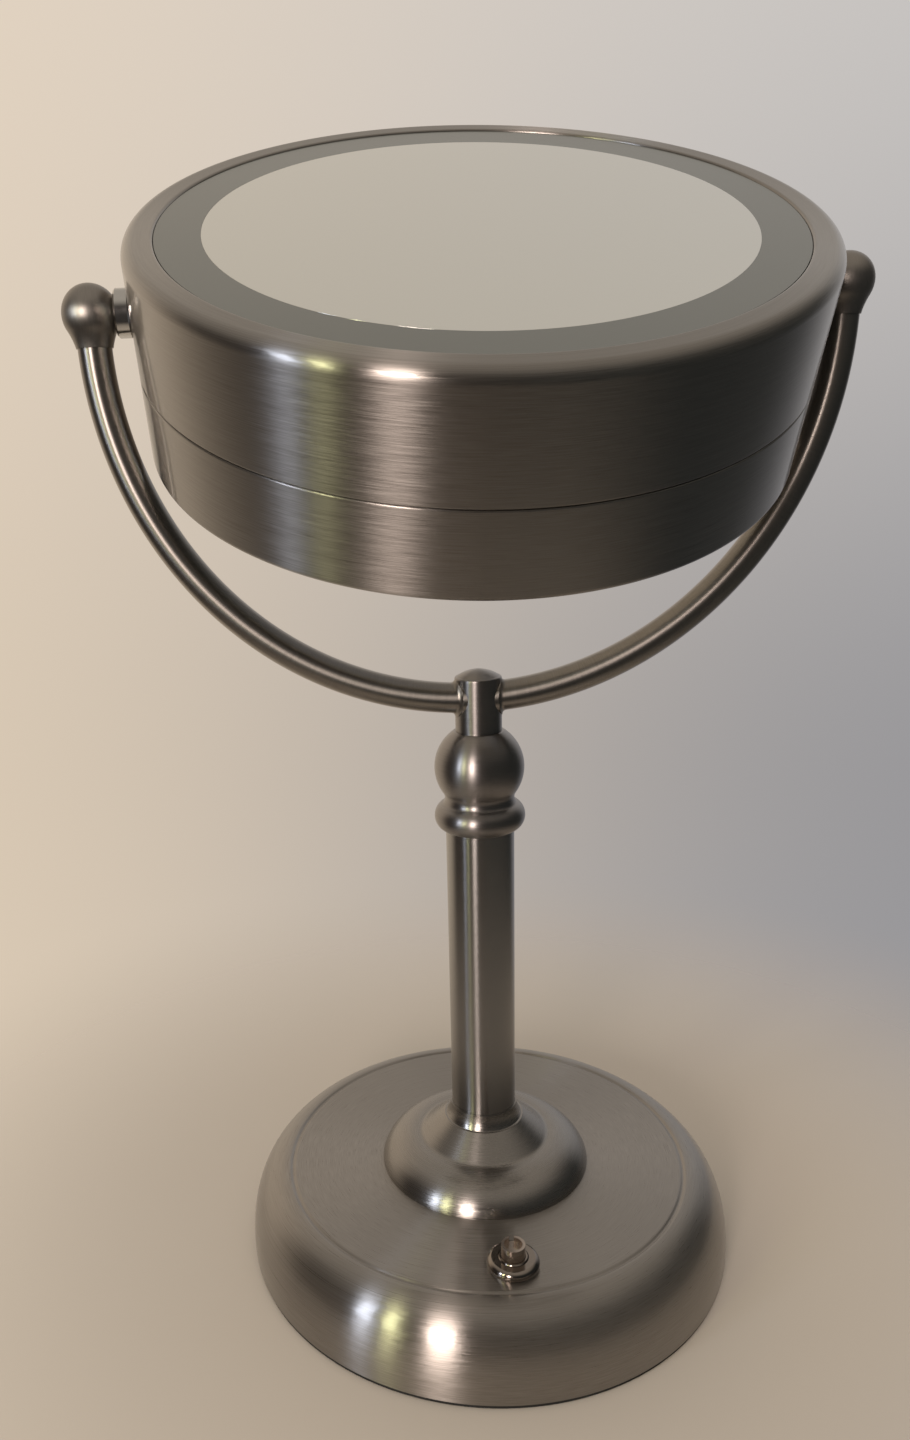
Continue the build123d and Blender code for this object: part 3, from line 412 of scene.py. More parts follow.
# nickel plate on the flange: its spots of light are shorter
flangeValues = dict(
    turnedNickel,
    hexes=("#8b8783", "#a09c98", "#95918d"),
    roughness=(0.25, 0.31),
    anisotropic=0.8,
    markMillimetres=(0.3, 0.3),
    markDrift=4.0,
    lean=0.06,
)
# nickel plate on a ball, brushed by hand after it was turned: its spots of light are soft and round
brushedNickel = dict(
    spunNickel,
    hexes=("#8f8a85", "#9f9a95", "#95908b"),
    roughness=(0.36, 0.41),
    anisotropic=0.3,
    markDrift=3.0,
    bump=0.05,
    lean=0.0,
    lacquer=0.0,
)
# nickel plate on drawn tube, brushed round the tube: its lines of light are thin and run the tube's length
drawnNickel = dict(
    brushedNickel,
    roughness=(0.34, 0.40),
    anisotropic=0.8,
    markMillimetres=(6.0, 6.0),
    markDrift=300.0,
    turn=0.0,
    bump=0.03,
)


# a polished or plated metal without marks: a haze in the roughness keeps it from looking drawn
def plainMetal(name, code, roughness, hazeMillimetres=2.5, spread=0.3):
    material, tree = newMaterial(name)
    place = addNode(tree, "ShaderNodeTexCoord").outputs["Object"]
    haze = addNode(tree, "ShaderNodeTexNoise", {"Vector": place, "Scale": 1000 / hazeMillimetres, "Detail": 3.0})
    limits = {"To Min": roughness * (1 - spread), "To Max": roughness * (1 + spread)}
    rough = addNode(tree, "ShaderNodeMapRange", {"Value": haze.outputs[0], **limits}).outputs[0]
    metal = addNode(
        tree, "ShaderNodeBsdfPrincipled", {"Base Color": toLinear(code), "Metallic": 1.0, "Roughness": rough}
    )
    setSurface(tree, metal)
    return material


# a solid that isn't metal, with a bump as fine as its grain, in millimetres
def plainSolid(name, code, roughness, grain=0.3, bumpStrength=0.1):
    material, tree = newMaterial(name)
    place = addNode(tree, "ShaderNodeTexCoord").outputs["Object"]
    texture = addNode(tree, "ShaderNodeTexNoise", {"Vector": place, "Scale": 1000 / grain, "Detail": 3.0})
    relief = {"Height": texture.outputs[0], "Strength": bumpStrength, "Distance": bumpDepth}
    bump = addNode(tree, "ShaderNodeBump", relief).outputs[0]
    solid = addNode(
        tree, "ShaderNodeBsdfPrincipled", {"Base Color": toLinear(code), "Roughness": roughness, "Normal": bump}
    )
    setSurface(tree, solid)
    return material


# mirror glass: all but white and almost sharp, with the faint haze of glass that has been wiped
mirrorValues = {"hex": "#eff0ec", "roughness": (0.01, 0.03), "hazeMillimetres": 40.0}


def silveredGlass(v):
    material, tree = newMaterial("float glass, silvered behind")
    place = addNode(tree, "ShaderNodeTexCoord").outputs["Object"]
    haze = addNode(tree, "ShaderNodeTexNoise", {"Vector": place, "Scale": 1000 / v["hazeMillimetres"], "Detail": 2.0})
    limits = {"To Min": v["roughness"][0], "To Max": v["roughness"][1]}
    rough = addNode(tree, "ShaderNodeMapRange", {"Value": haze.outputs[0], **limits}).outputs[0]
    glass = addNode(
        tree, "ShaderNodeBsdfPrincipled", {"Base Color": toLinear(v["hex"]), "Metallic": 1.0, "Roughness": rough}
    )
    setSurface(tree, glass)
    return material


# frosted acrylic over the lamps, unlit: a grey that hides what is behind it, under a smoother face
opalValues = {"hex": "#484b47", "roughness": 0.3, "face": 0.6, "faceRoughness": 0.1, "grit": 3000.0, "bump": 0.05}


def frostedAcrylic(v):
    material, tree = newMaterial("opal acrylic, frosted")
    place = addNode(tree, "ShaderNodeTexCoord").outputs["Object"]
    grit = addNode(tree, "ShaderNodeTexNoise", {"Vector": place, "Scale": v["grit"], "Detail": 2.0}).outputs[0]
    bump = addNode(tree, "ShaderNodeBump", {"Height": grit, "Strength": v["bump"], "Distance": bumpDepth}).outputs[0]
    acrylic = addNode(
        tree,
        "ShaderNodeBsdfPrincipled",
        {
            "Base Color": toLinear(v["hex"]),
            "Roughness": v["roughness"],
            "Coat Weight": v["face"],
            "Coat Roughness": v["faceRoughness"],
            "Normal": bump,
        },
    )
    setSurface(tree, acrylic)
    return material


headNickel = turnedMetal("nickel-plated steel, spun and brushed, head", spunNickel, pivot, headAxis)
baseNickel = turnedMetal("nickel-plated steel, spun and brushed, base", baseValues, (0, 0, 0), (0, 0, 1))
flangeNickel = turnedMetal("nickel-plated steel, turned, flange", flangeValues, (0, 0, 0), (0, 0, 1))
tubeNickel = turnedMetal("nickel-plated steel tube, brushed round", columnTubeValues, (0, 0, 0), (0, 0, 1))
columnNickel = turnedMetal("nickel-plated steel, turned, column", turnedNickel, (0, 0, 0), (0, 0, 1))
armLow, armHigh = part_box("yoke_arm_right")
yokeCentre = (0, 0, armLow.z + armHigh.x)  # the bend is a quarter of a circle, as far out as it is high
yokeNickel = turnedMetal("nickel-plated steel, drawn tube", drawnNickel, yokeCentre, (0, 1, 0))
ballNickel = turnedMetal("nickel-plated brass, turned ball", brushedNickel, pivot, (1, 0, 0))
chrome = plainMetal("chromium plate, polished", "#c9c8c6", 0.12)  # sharp reflections, cooler than nickel
brightNickel = plainMetal("nickel plate, polished nut", "#8d857e", 0.13)  # sharp reflections, brownish
zinc = plainMetal("zinc plate on steel", "#a8a8a6", 0.35)  # dull and pale
plungerNickel = plainMetal("nickel plate, turned plunger", "#b8aca2", 0.2)  # warm and a little soft
rubber = plainSolid("rubber, moulded black", "#161616", 0.7)  # a thin dark line under the base
blackPlastic = plainSolid("ABS, moulded black, fine texture", "#1b1b1c", 0.5)  # dark, with a faint sheen
whitePlastic = plainSolid("ABS, moulded white", "#e4e3de", 0.45)  # plain white, with a soft shine
castIron = plainSolid("cast iron, as cast", "#3c3b3a", 0.75, grain=1.2, bumpStrength=0.5)  # dark and coarse
cellJacket = plainSolid("shrink sleeve, plain", "#5b5f66", 0.3)  # smooth grey, without print
boardResist = plainSolid("solder resist, white", "#e6e5df", 0.4)  # a pale ring behind the lamps
lampResin = plainSolid("phosphor resin", "#e2cc72", 0.35)  # yellow when it isn't lit
fibre = plainSolid("vulcanised fibre", "#5a3527", 0.6)  # dull red-brown
sheath = plainSolid("PVC sheath, black", "#1a1a1a", 0.45)  # smooth black
mirrorGlass = silveredGlass(mirrorValues)
acrylic = frostedAcrylic(opalValues)

finishes = {
    "spun_nickel": {"base_shell": baseNickel, "front_shell": headNickel, "rear_shell": headNickel},
    "turned_nickel": columnNickel,
    "tube_nickel": yokeNickel,
    "polished_chrome": {"switch_nut": brightNickel, "pivot_spacer_left": chrome, "pivot_spacer_right": chrome},
    "plunger_nickel": plungerNickel,
    "black_rubber": rubber,
    "black_plastic": blackPlastic,
    "white_plastic": whitePlastic,
    "frosted_diffuser": acrylic,
    "mirror_glass": mirrorGlass,
    "cast_ballast": castIron,
    "zinc_steel": zinc,
    "sprung_contact": zinc,
    "cell_jacket": cellJacket,
    "white_board": boardResist,
    "lamp_resin": lampResin,
    "washer_fibre": fibre,
    "lead_sheath": sheath,
}
slotOf = {part["node"]: part["material_slot"] for part in frame["record"]["subparts"]}


# every CAD node takes the finish of its slot in the record
def dressNodes():
    for name, piece in nodes.items():
        finish = finishes[slotOf[name]]
        if isinstance(finish, dict):
            finish = finish[name]
        if name.startswith("pivot_ball"):
            finish = ballNickel
        piece.data.materials.clear()
        piece.data.materials.append(finish)


dressNodes()
print("nodes dressed")


# new pieces, turned about an axis

# rounds the corners of a closed outline of radii and heights: each corner becomes an arc of its own fillet, with a
# point a margin outside each end of the arc, so that the flats beside it stay flat
def roundedOutline(corners, fillets, steps=6, margin=0.1):
    corners = np.array(corners, float)
    before = np.roll(corners, 1, axis=0) - corners
    after = np.roll(corners, -1, axis=0) - corners
    before /= np.linalg.norm(before, axis=1, keepdims=True)
    after /= np.linalg.norm(after, axis=1, keepdims=True)
    half = np.arccos(np.clip((before * after).sum(axis=1), -1, 1)) / 2
    fillets = np.array(fillets, float)
    reach = (fillets / np.tan(half))[:, None]
    middle = before + after
    middle /= np.linalg.norm(middle, axis=1, keepdims=True)
    centres = corners + middle * (fillets / np.sin(half))[:, None]
    starts, ends = corners + before * reach, corners + after * reach
    share = np.linspace(0, 1, steps + 1)[None, :, None]
    chord = starts[:, None] * (1 - share) + ends[:, None] * share - centres[:, None]
    arcs = centres[:, None] + chord / np.linalg.norm(chord, axis=2, keepdims=True) * fillets[:, None, None]
    lead, trail = starts[:, None] + before[:, None] * margin, ends[:, None] + after[:, None] * margin
    return np.concatenate([lead, arcs, trail], axis=1).reshape(-1, 2)


# points round part of an ellipse, from a start to an end angle in degrees
def arcPoints(centre, radii, start, end, steps=24):
    angle = np.radians(np.linspace(start, end, steps + 1))
    return np.stack([centre[0] + radii[0] * np.cos(angle), centre[1] + radii[1] * np.sin(angle)], axis=1)


# points round the circle through three points: its centre is as far from each of them
def arcThrough(first, middle, last, steps=24):
    a, b, c = (np.array(point, float) for point in (first, middle, last))
    centre = np.linalg.solve(2 * np.array([b - a, c - a]), [b @ b - a @ a, c @ c - a @ a])
    turns = np.unwrap([np.arctan2(*(point - centre)[::-1]) for point in (a, b, c)])
    radius = np.linalg.norm(a - centre)
    return arcPoints(centre, (radius, radius), *np.degrees(turns[[0, 2]]), steps)


# points round the circle that leaves a point in a direction and reaches another point
def arcFrom(first, direction, last, steps=12):
    a, c = np.array(first, float), np.array(last, float)
    across = np.array([-direction[1], direction[0]]) / np.hypot(*direction)
    radius = (c - a) @ (c - a) / (2 * (c - a) @ across)
    centre = a + across * radius
    turns = np.unwrap([np.arctan2(*(point - centre)[::-1]) for point in (a, c)])
    return arcPoints(centre, (abs(radius), abs(radius)), *np.degrees(turns), steps)


# a profile with even spacing and softened corners: each point becomes the mean of its neighbours, weighted by a
# bell curve as wide as the softness, in millimetres
def softProfile(parts, spacing, softness):
    points = np.concatenate([np.array(part, float).reshape(-1, 2) for part in parts])
    travel = np.concatenate([[0.0], np.cumsum(np.linalg.norm(np.diff(points, axis=0), axis=1))])
    even = np.linspace(0, travel[-1], int(travel[-1] / spacing) + 2)
    line = np.stack([np.interp(even, travel, points[:, 0]), np.interp(even, travel, points[:, 1])], axis=1)
    reach = int(4 * softness / spacing) + 1
    weights = np.exp(-0.5 * (np.arange(-reach, reach + 1) * spacing / softness) ** 2)
    weights /= weights.sum()
    before, after = 2 * line[0] - line[reach:0:-1], 2 * line[-1] - line[-2 : -reach - 2 : -1]
    padded = np.concatenate([before, line, after])
    return np.stack([np.convolve(padded[:, column], weights, mode="valid") for column in (0, 1)], axis=1)


# carries an outline of radii and heights, in millimetres, round an axis through a centre, in metres
def turnedObject(name, outline, centre, axis, segments=256):
    axis = np.array(axis) / np.linalg.norm(axis)
    side = np.array([1.0, 0.0, 0.0])
    front = np.cross(axis, side)
    turn = np.linspace(0, 2 * np.pi, segments, endpoint=False)[:, None, None]
    spoke = np.cos(turn) * side + np.sin(turn) * front
    outline = np.concatenate([np.array(part, float).reshape(-1, 2) for part in outline]) / 1000
    points = np.array(centre) + outline[None, :, :1] * spoke + outline[None, :, 1:] * axis
    return gridObject(name, points, closeU=True, closeV=True)


# puts a new piece's material on it, hangs it on its body, and hides the node that it stands for
def settle(piece, body, node, material):
    piece.data.materials.append(material)
    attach(piece, body)
    if node:
        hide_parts(node)


# head: two spun shells, each with a flat bezel, a rolled edge and a small round at the seam
headShell = {
    "radius": 108.0,  # millimetres
    "sheet": 1.0,
    "bezelWidth": 10.0,
    "lipDepth": 3.0,
    "lipRound": 0.8,
    "seamRound": 0.45,
    "front": {"face": 23.3, "depth": 36.45, "edge": 4.2},  # from the pivot, along the head's axis
    "rear": {"face": 41.7, "depth": 28.25, "edge": 1.6},
    "spacing": 0.25,  # between the points of the bezel's profile
    "softness": 0.2,
    "wallTop": 2,  # how far down the wall the soft profile goes
    "seamMargin": 0.2,  # a row of points above the seam, which keeps the wall straight
    "steps": 8,  # in the seam's arc and the inside's
    "segments": 320,
}


# one profile carried round the head's axis: the lip, an arc, the flat bezel, the rolled edge's arc, the wall, the
# seam's arc, and the same again inside, a sheet's thickness away
def addShell(s, which, axis):
    side = s[which]
    inner, wall = s["radius"] - s["bezelWidth"], s["radius"] - s["sheet"]
    edge, bend = s["radius"] - side["edge"], s["radius"] - s["seamRound"]
    bezel = softProfile(
        [
            (inner, -s["lipDepth"]),
            arcPoints((inner + s["lipRound"], -s["lipRound"]), (s["lipRound"],) * 2, 180, 90),
            arcPoints((edge, -side["edge"]), (side["edge"],) * 2, 90, 0),
            (s["radius"], -side["edge"] - s["wallTop"]),
        ],
        s["spacing"],
        s["softness"],
    )
    seam = arcPoints((bend, -side["depth"] + s["seamRound"]), (s["seamRound"],) * 2, 0, -90, s["steps"])
    backEdge = side["edge"] - s["sheet"]
    inside = [
        (wall, -side["depth"]),
        (wall, -side["edge"]),
        *arcPoints((edge, -side["edge"]), (backEdge, backEdge), 0, 90, s["steps"])[1:],
        (inner + s["sheet"], -s["sheet"]),
        (inner + s["sheet"], -s["lipDepth"]),
    ]
    support = (s["radius"], -side["depth"] + s["seamRound"] + s["seamMargin"])
    origin = pivot + np.array(axis) * side["face"] / 1000
    shell = turnedObject(f"{which}_spun_shell", [bezel, support, seam, inside], origin, axis, s["segments"])
    settle(shell, "head", f"{which}_shell", headNickel)


addShell(headShell, "front", headAxis)
addShell(headShell, "rear", -headAxis)
print("head shells made")


# base: spun shell with a pressed groove inside its rolled shoulder
baseShell = {
    "radius": 97.5,  # millimetres
    "bottom": 1.6,
    "wallHeight": 6.0,
    "height": 33.4,
    "rollWidth": 16.5,
    "sheet": 1.2,
    "groove": (2.4, 0.6),  # width and depth
    "hole": 5.3,
    "spacing": 0.3,
    "softness": 0.22,
    "flatStart": 3,  # how far inside the groove the soft profile goes
    "steps": {"groove": 24, "shoulder": 60, "inside": 16},
    "segments": 320,
}


# one profile carried round the upright axis: the wall and shoulder are a quarter of an ellipse, then come the groove
# and the flat top, and the same again inside without the groove
def addBaseShell(s):
    rollStart = s["radius"] - s["rollWidth"]
    middle = (rollStart, s["wallHeight"])
    width, depth = s["groove"]
    share = np.linspace(0, 1, s["steps"]["groove"] + 1)
    # the groove is one wave of a cosine across its width
    groove = np.stack([rollStart - width * share, s["height"] - depth * (1 - np.cos(2 * np.pi * share)) / 2], axis=1)
    skin = softProfile(
        [
            (s["radius"], s["bottom"]),
            arcPoints(middle, (s["rollWidth"], s["height"] - s["wallHeight"]), 0, 90, s["steps"]["shoulder"]),
            groove,
            (rollStart - width - s["flatStart"], s["height"]),
        ],
        s["spacing"],
        s["softness"],
    )
    low = s["height"] - s["sheet"]
    inside = [
        (s["hole"], s["height"]),
        (s["hole"], low),
        *arcPoints(middle, (s["rollWidth"] - s["sheet"], low - s["wallHeight"]), 90, 0, s["steps"]["inside"]),
        (s["radius"] - s["sheet"], s["bottom"]),
    ]
    shell = turnedObject("base_spun_shell", [skin, inside], (0, 0, 0), (0, 0, 1), s["segments"])
    settle(shell, "root", "base_shell", baseNickel)


addBaseShell(baseShell)
print("base shell made")


# column: bell flange, and the collar's bead and ball
flange = {
    "foot": (42.0, 33.4),  # radius and height, in millimetres
    "footTop": 34.2,
    "bulge": (37.4, 41.1),
    "shoulder": (25.5, 44.8),
    "step": (15.8, 53.8),
    "stepIn": 0.7,
    "cove": (13.75, 56.9),
    "top": (13.4, 60.0),
    "socket": (12.75, 54.0),
    "bore": 5.3,
    "lower": (0.35, 0.8),  # spacing and softness of the profile below the step, and above it
    "upper": (0.12, 0.12),
    "segments": 192,
}


# one profile carried round the upright axis: a circle through three points for the bulge, a straight cone, the step,
# and a circle through three points for the cove
def addFlange(f):
    bulge = arcThrough((f["foot"][0], f["footTop"]), f["bulge"], f["shoulder"])
    lower = softProfile([f["foot"], bulge, f["step"]], *f["lower"])
    ledge = (f["step"][0] - f["stepIn"], f["step"][1])
    upper = softProfile([f["step"], ledge, arcThrough(ledge, f["cove"], f["top"])], *f["upper"])
    bore = [(f["socket"][0], f["top"][1]), f["socket"], (f["bore"], f["socket"][1]), (f["bore"], f["foot"][1])]
    piece = turnedObject("column_bell_flange", [lower, upper, bore], (0, 0, 0), (0, 0, 1), f["segments"])
    settle(piece, "root", "column_flange", flangeNickel)


collar = {
    "bead": (12.2, 182.8),  # the half-round bead's middle: radius and height, in millimetres
    "beadSize": (4.55, 5.1),
    "lip": 13.4,
    "neck": 12.8,
    "neckFlare": 0.7,
    "ballRadius": 16.4,
    "ballHeight": 201.3,
    "top": 9.1,
    "socket": (12.75, 181.0),
    "bore": 5.3,
    "spacing": 0.3,
    "softness": 0.35,
    "steps": {"bead": 40, "ball": 60},
    "segments": 160,
}


# one profile carried round the upright axis: most of an ellipse for the bead, a circle through three points for the
# neck and one for the ball; it gives back the height of the ball's top
def addCollar(c):
    meet = c["neck"] + c["neckFlare"]
    low, high = np.degrees(np.arccos((np.array([c["lip"], meet]) - c["bead"][0]) / c["beadSize"][0]))
    bead = arcPoints(c["bead"], c["beadSize"], -low, high, c["steps"]["bead"])
    ballLow = c["ballHeight"] - np.sqrt(c["ballRadius"] ** 2 - meet**2)
    ballTop = c["ballHeight"] + np.sqrt(c["ballRadius"] ** 2 - c["top"] ** 2)
    neck = arcThrough(bead[-1], (c["neck"], (bead[-1][1] + ballLow) / 2), (meet, ballLow))
    widest = (c["ballRadius"], c["ballHeight"])
    ball = arcThrough((meet, ballLow), widest, (c["top"], ballTop), c["steps"]["ball"])
    outside = softProfile([bead, neck, ball], c["spacing"], c["softness"])
    bore = [(c["bore"], ballTop), (c["bore"], c["socket"][1]), c["socket"], (c["socket"][0], bead[0][1])]
    piece = turnedObject("collar_bead_and_ball", [outside, bore], (0, 0, 0), (0, 0, 1), c["segments"])
    settle(piece, "root", "collar_finial", columnNickel)
    return ballTop


hub = {
    "radius": 8.4,  # millimetres
    "height": 19.9,
    "dome": 2.4,
    "edge": 0.7,
    "margin": 0.3,  # how far from each end the side has a row of points, which keeps it flat
    "steps": {"edge": 8, "dome": 24},
    "segments": 128,
}


# one profile carried round the upright axis: a straight side, an arc for the edge, and for the dome a circle as high
# as the dome over the edge's width
def addHub(h, foot):
    top = foot + h["height"]
    domeWidth = h["radius"] - h["edge"]
    rim = arcFrom((h["radius"], top - h["edge"]), (0, 1), (domeWidth, top), h["steps"]["edge"])
    domeRadius = (domeWidth**2 + h["dome"] ** 2) / (2 * h["dome"])
    spread = np.degrees(np.arcsin(domeWidth / domeRadius))
    dome = arcPoints((0, top + h["dome"] - domeRadius), (domeRadius,) * 2, 90 - spread, 90, h["steps"]["dome"])
    sideRows = (foot, foot + h["margin"], top - h["edge"] - h["margin"])
    side = [(0, foot), *((h["radius"], level) for level in sideRows)]
    piece = turnedObject("yoke_domed_hub", [side, rim, dome[1:]], (0, 0, 0), (0, 0, 1), h["segments"])
    settle(piece, "root", "yoke_hub", columnNickel)


columnTube = {
    "radius": 12.7,  # millimetres
    "wall": 1.2,
    "bottom": 54.0,
    "top": 181.0,
    "rows": 6,
    "segments": 192,
}


# two straight lines carried round the upright axis, a wall apart
def addColumnTube(c):
    levels = np.linspace(c["bottom"], c["top"], c["rows"])
    outer = np.stack([np.full(c["rows"], c["radius"]), levels], axis=1)
    inner = np.stack([np.full(c["rows"], c["radius"] - c["wall"]), levels[::-1]], axis=1)
    tube = turnedObject("column_long_tube", [outer, inner], (0, 0, 0), (0, 0, 1), c["segments"])
    settle(tube, "root", "column_tube", tubeNickel)


addFlange(flange)
addColumnTube(columnTube)
addHub(hub, addCollar(collar))
print("column made")


# yoke: two bent tubes with a braze fillet at the hub, and the balls that cap them
yoke = {
    "bend": 121.0,  # millimetres: the bend's radius, which is also the tubes' distance from the column
    "centreHeight": 348.075,
    "tube": 5.45,
    "top": 352.0,
    "start": 1.5,  # degrees from the column: inside the hub
    "fineUntil": 12,  # degrees from the column: the rows lie closer up to here, for the fillet
    "fillet": 1.5,
    "rows": {"fine": 90, "coarse": 110, "straight": 4},
    "segments": 64,
}
ball = {
    "radius": 9.1,  # millimetres
    "flat": 7.9,  # from the middle to the flat that faces the head
    "flatSoftness": 0.3,
    "skirtStart": 7.9,
    "skirtEnd": (5.85, -9.8),
    "mouth": 5.5,
    "mouthChamfer": (0.3, 0.5),
    "floor": -9.0,  # where the mouth closes on the tube's axis, inside the tube
    "steps": 72,  # down the round part
    "segments": 144,
}


# a circle carried along a quarter of a circle and a short straight; near the hub the tube grows by a fillet: one
# less the height of a quarter circle over the distance from the hub's round side
def addArm(y, hubRadius, side, word):
    fine = np.linspace(y["start"], y["fineUntil"], y["rows"]["fine"])
    coarse = np.linspace(y["fineUntil"], 90, y["rows"]["coarse"])[1:]
    turn = np.radians(np.concatenate([fine, coarse]))
    straight = np.linspace(0, y["top"] - y["centreHeight"], y["rows"]["straight"])[1:]
    pathX = np.concatenate([y["bend"] * np.sin(turn), np.full(len(straight), y["bend"])])
    pathZ = np.concatenate([y["centreHeight"] - y["bend"] * np.cos(turn), y["centreHeight"] + straight])
    outX = np.concatenate([np.sin(turn), np.ones(len(straight))])[:, None]
    outZ = np.concatenate([-np.cos(turn), np.zeros(len(straight))])[:, None]
    angle = np.linspace(0, 2 * np.pi, y["segments"], endpoint=False)[None, :]
    hubSide = np.sqrt(hubRadius**2 - (y["tube"] * np.sin(angle)) ** 2)
    away = pathX[:, None] + y["tube"] * np.cos(angle) * outX - hubSide
    near = np.clip(1 - away / y["fillet"], 0, 1)
    radius = y["tube"] + y["fillet"] * (1 - np.sqrt(1 - near**2))
    radius[[0, -1]] = 0  # each end closes at a point, inside the hub and inside the ball
    points = np.stack(
        [
            side * (pathX[:, None] + radius * np.cos(angle) * outX),
            radius * np.sin(angle),
            pathZ[:, None] + radius * np.cos(angle) * outZ,
        ],
        axis=-1,
    )
    arm = gridObject(f"yoke_tube_{word}", points / 1000, closeV=True)
    settle(arm, "root", f"yoke_arm_{word}", yokeNickel)


# a ball and its hollow-sided skirt, turned about the tube's axis; what lies past the flat is brought back to it by a
# soft minimum: the flat less the softness times the logarithm of one plus an exponential
def addBall(b, bend, side, word):
    drop = -np.sqrt(b["radius"] ** 2 - b["skirtStart"] ** 2)
    low = np.degrees(np.arctan2(drop, b["skirtStart"]))
    crown = arcPoints((0, 0), (b["radius"],) * 2, 90, low, b["steps"])
    skirt = arcFrom((b["skirtStart"], drop), (drop, -b["skirtStart"]), b["skirtEnd"])
    inX, inZ = b["mouth"] - b["mouthChamfer"][0], b["skirtEnd"][1] + b["mouthChamfer"][1]
    mouth = np.array([(b["mouth"], b["skirtEnd"][1]), (inX, inZ), (0, b["floor"])])
    profile = np.concatenate([crown, skirt[1:], mouth])
    turn = np.linspace(0, 2 * np.pi, b["segments"], endpoint=False)[:, None]
    inward = profile[None, :, 0] * np.cos(turn)
    inward = b["flat"] - b["flatSoftness"] * np.logaddexp(0, (b["flat"] - inward) / b["flatSoftness"])
    points = np.stack(
        [
            side * (bend - inward),
            profile[None, :, 0] * np.sin(turn),
            pivot[2] * 1000 + profile[None, :, 1] + 0 * turn,
        ],
        axis=-1,
    )
    piece = gridObject(f"pivot_cap_ball_{word}", points / 1000, closeU=True)
    settle(piece, "root", f"pivot_ball_{word}", ballNickel)


for side, word in ((-1, "left"), (1, "right")):
    addArm(yoke, hub["radius"], side, word)
    addBall(ball, yoke["bend"], side, word)
print("yoke made")


# front face: a frosted ring round a mirror, level with each other, and a rebate at the ring's edge for the bezel's
# lip. The solids' faces lie at the foot of the lip, and these stand up inside it, almost level with the bezel.
frontGlass = {
    "faceHeight": 23.3,  # millimetres from the pivot, along the head's axis, to the bezel's face
    "seat": 6.0,  # from the face down to the glass's seat
    "rebate": 3.0,  # from the face down to the lip's foot
    "below": 0.5,  # from the face down to the glass's own face
    "mirrorRadius": 83.7,
    "ringGap": 0.03,
    "lipRadius": 98.0,
    "lipGap": 0.15,
    "outerRadius": 103.0,
    "arris": 0.04,
    "pastAxis": -1,  # how far past the axis the mirror's outline is drawn
}


# two outlines carried round the head's axis: a ring with a rebate at its outer edge, and a plain disc inside it
def addFrontGlass(g):
    seat, foot, face = -g["seat"], -g["rebate"], -g["below"]
    origin = pivot + headAxis * g["faceHeight"] / 1000
    inner, step = g["mirrorRadius"] + g["ringGap"], g["lipRadius"] - g["lipGap"]
    ringCorners = [
        (inner, seat), (g["outerRadius"], seat), (g["outerRadius"], foot), (step, foot), (step, face), (inner, face)
    ]
    ring = turnedObject("front_glass_ring", [roundedOutline(ringCorners, [g["arris"]] * 6)], origin, headAxis)
    # the mirror's outline is rounded as if it went past the axis, and then cut off there
    past = g["pastAxis"]
    mirrorCorners = [(past, seat), (g["mirrorRadius"], seat), (g["mirrorRadius"], face), (past, face)]
    outline = roundedOutline(mirrorCorners, [g["arris"]] * 4)
    outline = [(0, seat), outline[outline[:, 0] > 0], (0, face)]
    mirror = turnedObject("front_glass_mirror", outline, origin, headAxis)
    settle(ring, "head", "front_light_ring", acrylic)
    settle(mirror, "head", "front_mirror", mirrorGlass)


addFrontGlass(frontGlass)
print("front glass made")


# rear mirror: hollow, so that it magnifies
rearMirror = {
    "curve": 600.0,  # millimetres: the radius of the ball that the glass is a part of
    "radius": 83.7,
    "edgeHeight": -38.7,  # the rear face's edge, along the head's axis from the pivot
    "thickness": 3.0,
    "rows": 60,
}


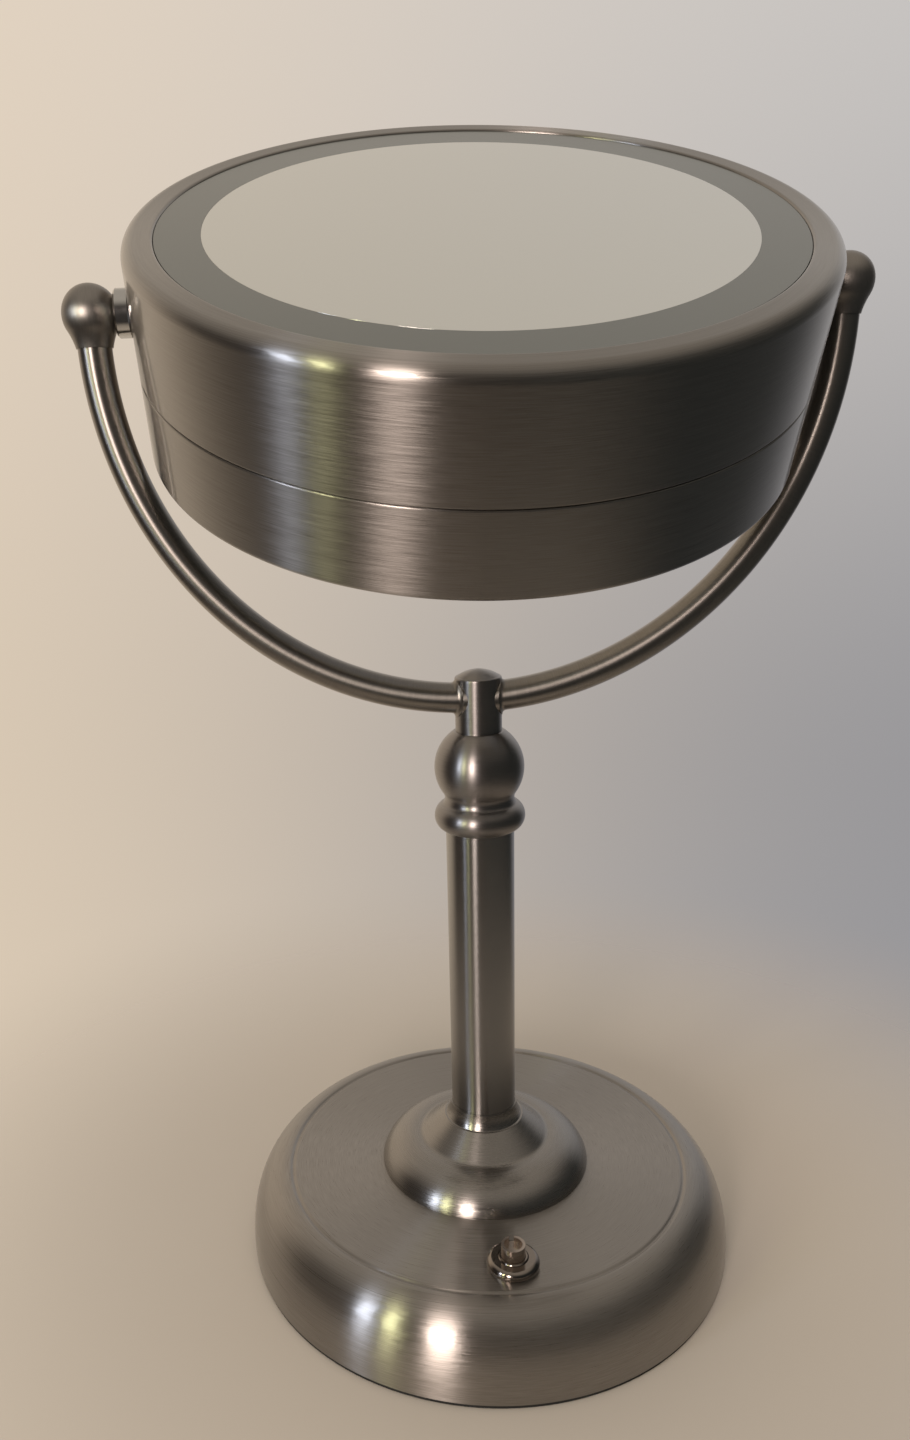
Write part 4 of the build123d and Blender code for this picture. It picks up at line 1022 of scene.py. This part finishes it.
# both faces are parts of a ball: the height over the edge is the difference of two square roots
def addRearMirror(m):
    radii = np.linspace(0, m["radius"], m["rows"])
    rise = np.sqrt(m["curve"] ** 2 - radii**2) - np.sqrt(m["curve"] ** 2 - m["radius"] ** 2)
    rear = np.stack([radii, m["edgeHeight"] + rise], axis=1)
    mirror = turnedObject("rear_hollow_mirror", [rear, rear[::-1] + (0, m["thickness"])], pivot, headAxis)
    settle(mirror, "head", "rear_mirror", mirrorGlass)


addRearMirror(rearMirror)
print("rear mirror made")


# switch: the threaded end of its bush, which stands up inside the nut round the plunger
bush = {
    "low": 2.0,  # millimetres above the base's top
    "high": 4.3,
    "thread": (5.42, 0.28),  # crest radius and depth
    "pitch": 0.75,
    "inner": 4.42,
    "chamfer": 0.35,
    "boreChamfer": 0.1,  # a small chamfer at the bore's mouth
    "rows": 25,
    "segments": 96,
}


# the thread's depth is a triangle wave of the height in pitches, less the share of a full turn
def addBush(b):
    nutLow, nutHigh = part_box("switch_nut")
    centre = ((nutLow.x + nutHigh.x) / 2, (nutLow.y + nutHigh.y) / 2, nutLow.z)
    turn = np.linspace(0, 2 * np.pi, b["segments"], endpoint=False)[:, None]
    rise = np.linspace(b["low"], b["high"] - b["chamfer"], b["rows"])[None, :]
    phase = (rise / b["pitch"] - turn / (2 * np.pi)) % 1.0
    outer = b["thread"][0] - b["thread"][1] * np.abs(2 * phase - 1)
    flat = np.ones_like(turn)
    lip = b["thread"][0] - b["chamfer"]
    bevel = b["boreChamfer"]
    innerRadii = [flat * lip, flat * (b["inner"] + bevel), flat * b["inner"], flat * b["inner"]]
    innerHeights = [flat * b["high"], flat * b["high"], flat * (b["high"] - bevel), flat * b["low"]]
    radii = np.concatenate([outer, *innerRadii], axis=1)
    heights = np.concatenate([flat * rise, *innerHeights], axis=1)
    points = np.stack([np.cos(turn) * radii, np.sin(turn) * radii, heights], axis=-1) / 1000 + np.array(centre)
    piece = gridObject("switch_bush", points, closeU=True, closeV=True)
    settle(piece, "root", None, brightNickel)


addBush(bush)
print("switch bush made")
